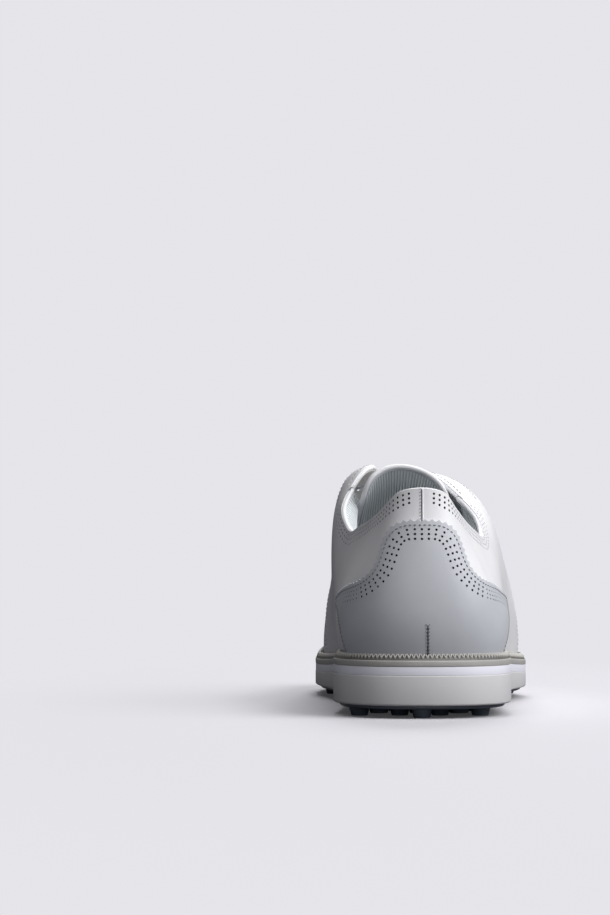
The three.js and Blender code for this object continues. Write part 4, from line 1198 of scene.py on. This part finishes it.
def tongue_point(across, down, depth):
    """across runs round the arch (millimetres, outer side positive) and down runs from the free end to the root."""
    across, down, depth = np.broadcast_arrays(*(np.asarray(v, float) for v in (across, down, depth)))
    along = np.clip(down, 0, TONGUE_LENGTH)
    middle = between(along, crest_run, CREST)
    slope = unit(between(np.minimum(along + 1, TONGUE_LENGTH), crest_run, CREST)
                 - between(np.maximum(along - 1, 0), crest_run, CREST))
    middle = middle + slope * (down - along)[..., None]
    share = along / TONGUE_LENGTH
    radius = np.where(across > 0, mix(26.5, 38, ease(share, 0, 0.8)), mix(19.0, 38, ease(share, 0, 0.8)))
    up = unit(np.stack([0 * share, -slope[..., 2], slope[..., 1]], -1))
    angle = across / radius
    middle = middle + up * ((radius + depth) * np.cos(angle) - radius)[..., None]
    middle[..., 0] += (radius + depth) * np.sin(angle)
    return middle

MEDIAL_HALF, LATERAL_HALF, CORNER = 24.5, 33.0, 12.0

def tongue_sheet(a, b, inset=0.0):
    left = mix(MEDIAL_HALF, 22.0, ease(b, 0.3, 1)) - inset
    right = mix(LATERAL_HALF, 22.0, ease(b, 0.12, 0.8)) - inset
    across = mix(-left, right, a)
    over = np.maximum(0, np.maximum(-across - left, across - right) + CORNER)
    start = CORNER - np.sqrt(np.maximum(CORNER ** 2 - over ** 2, 0)) + inset
    return across, mix(start, TONGUE_LENGTH, b)

def tongue_outer(depth, inset=0.0):
    def place(a, b):
        across, down = tongue_sheet(a, b, inset)
        return tongue_point(across, down, depth)
    return place

tongue_leather = sheet_of_grid("tongue_leather", 60, 60, tongue_outer(0.0))
apply_modifier(tongue_leather, "SOLIDIFY", thickness=1.1 * mm, offset=0)
outwards(tongue_leather, 50)
dressed(tongue_leather, WHITE, "tongue", "white_leather", "tongue_leather")

def pad_inner(a, b):
    across, down = tongue_sheet(a, b, 0.6)
    dome = (np.sin(np.clip(a, 0.001, 0.999) * math.pi) ** 0.5) * np.sin(np.clip(b * 9, 0, math.pi / 2))
    cord = 0.48 * np.cos(across / 1.65 * 2 * math.pi)
    thin = 1 - 0.55 * ease(b, 0.5, 0.95)
    return tongue_point(across, down, -(1.6 + (2.9 + cord) * dome * thin))

def pad_cords(a, b):
    across, _ = tongue_sheet(a, b, 0.6)
    return 0.5 - 0.5 * np.cos(across / 1.65 * 2 * math.pi + math.pi)

pad = cushion("tongue_lining", 400, 40, pad_inner, tongue_outer(-0.6, 0.6), pad_cords)
dressed(pad, MESH, "tongue", "lining_mesh", "tongue_lining", "tongue_foam")

def tongue_rim(lift, depth):
    """The tongue's edge from the inner side's root, over the free end, to the outer side's root."""
    b = np.linspace(0.82, 0.0, 120)
    a0 = np.zeros_like(b)
    x, d = tongue_sheet(a0, b)
    left = np.stack([x - lift, d], -1)
    x, d = tongue_sheet(a0 + 1, b[::-1])
    right = np.stack([x + lift, d], -1)
    a = np.linspace(0, 1, 160)[1:-1]
    x, d = tongue_sheet(a, np.zeros_like(a))
    lean = np.where(a < 0.2, -(1 - a / 0.2), np.where(a > 0.8, (a - 0.8) / 0.2, 0))
    top = np.stack([x + lift * lean, d - lift], -1)
    route = np.concatenate([left, top, right])
    points = tongue_point(route[:, 0], route[:, 1], depth)
    run = lengths(points)
    return between(np.linspace(0, run[-1], int(run[-1] / 1.2)), run, points)

binding = tube("tongue_binding", tongue_rim(0.4, -0.7), 1.25, 14)
dressed(binding, WHITE, "tongue", "white_leather", "tongue_binding")
piping = tube("tongue_piping", tongue_rim(-0.5, -2.0), 0.42, 8)
dressed(piping, GREY, "tongue", "grey_leather")

# ---- Footbed
# A moulded foam bed with a knitted top cover lies loose on the insole board, so that it can be lifted out at the
# heel to dry.
FOOTBED_CLOTH = mesh_cloth("footbed_cloth", (0.52, 0.55, 0.58), (0.38, 0.41, 0.44))
board_reach = -(LEATHER + 0.5 + 1.2 + 0.5 + 1.2) - 1.0
footbed = layer_solid("footbed", board_reach - 1.2, lambda y: welt_top(y) + 2.6, lambda y: welt_top(y) + 7.1, 1.4)
dressed(footbed, FOOTBED_CLOTH, "footbed", "footbed_fabric", "footbed")

# ---- Hidden pieces
# The insole board, cork filler, steel shank, heel stiffener, toe puff and vamp lining keep their built shapes; only
# their finishes are set.
BOARD = moulded("fibre_board", (0.46, 0.35, 0.22), (0.38, 0.28, 0.17), 0.85, bump=0.4, scale=1500)
CORK = moulded("cork_filler", (0.42, 0.28, 0.16), (0.20, 0.12, 0.06), 0.9, bump=0.6, scale=600)
FOAM = moulded("foam_padding", (0.74, 0.69, 0.55), (0.68, 0.63, 0.49), 0.95, bump=0.5, scale=1800)
HIDDEN = {"insole_board": BOARD, "bottom_filler": CORK, "shank": STEEL, "heel_stiffener": BOARD, "toe_puff": BOARD,
          "vamp_lining": PLAIN_MESH, "collar_foam": FOAM}
for piece in bpy.data.objects:
    finish = HIDDEN.get(piece.name.split(".")[0])
    if piece.type == "MESH" and finish:
        for index in range(len(piece.data.materials)):
            piece.data.materials[index] = finish
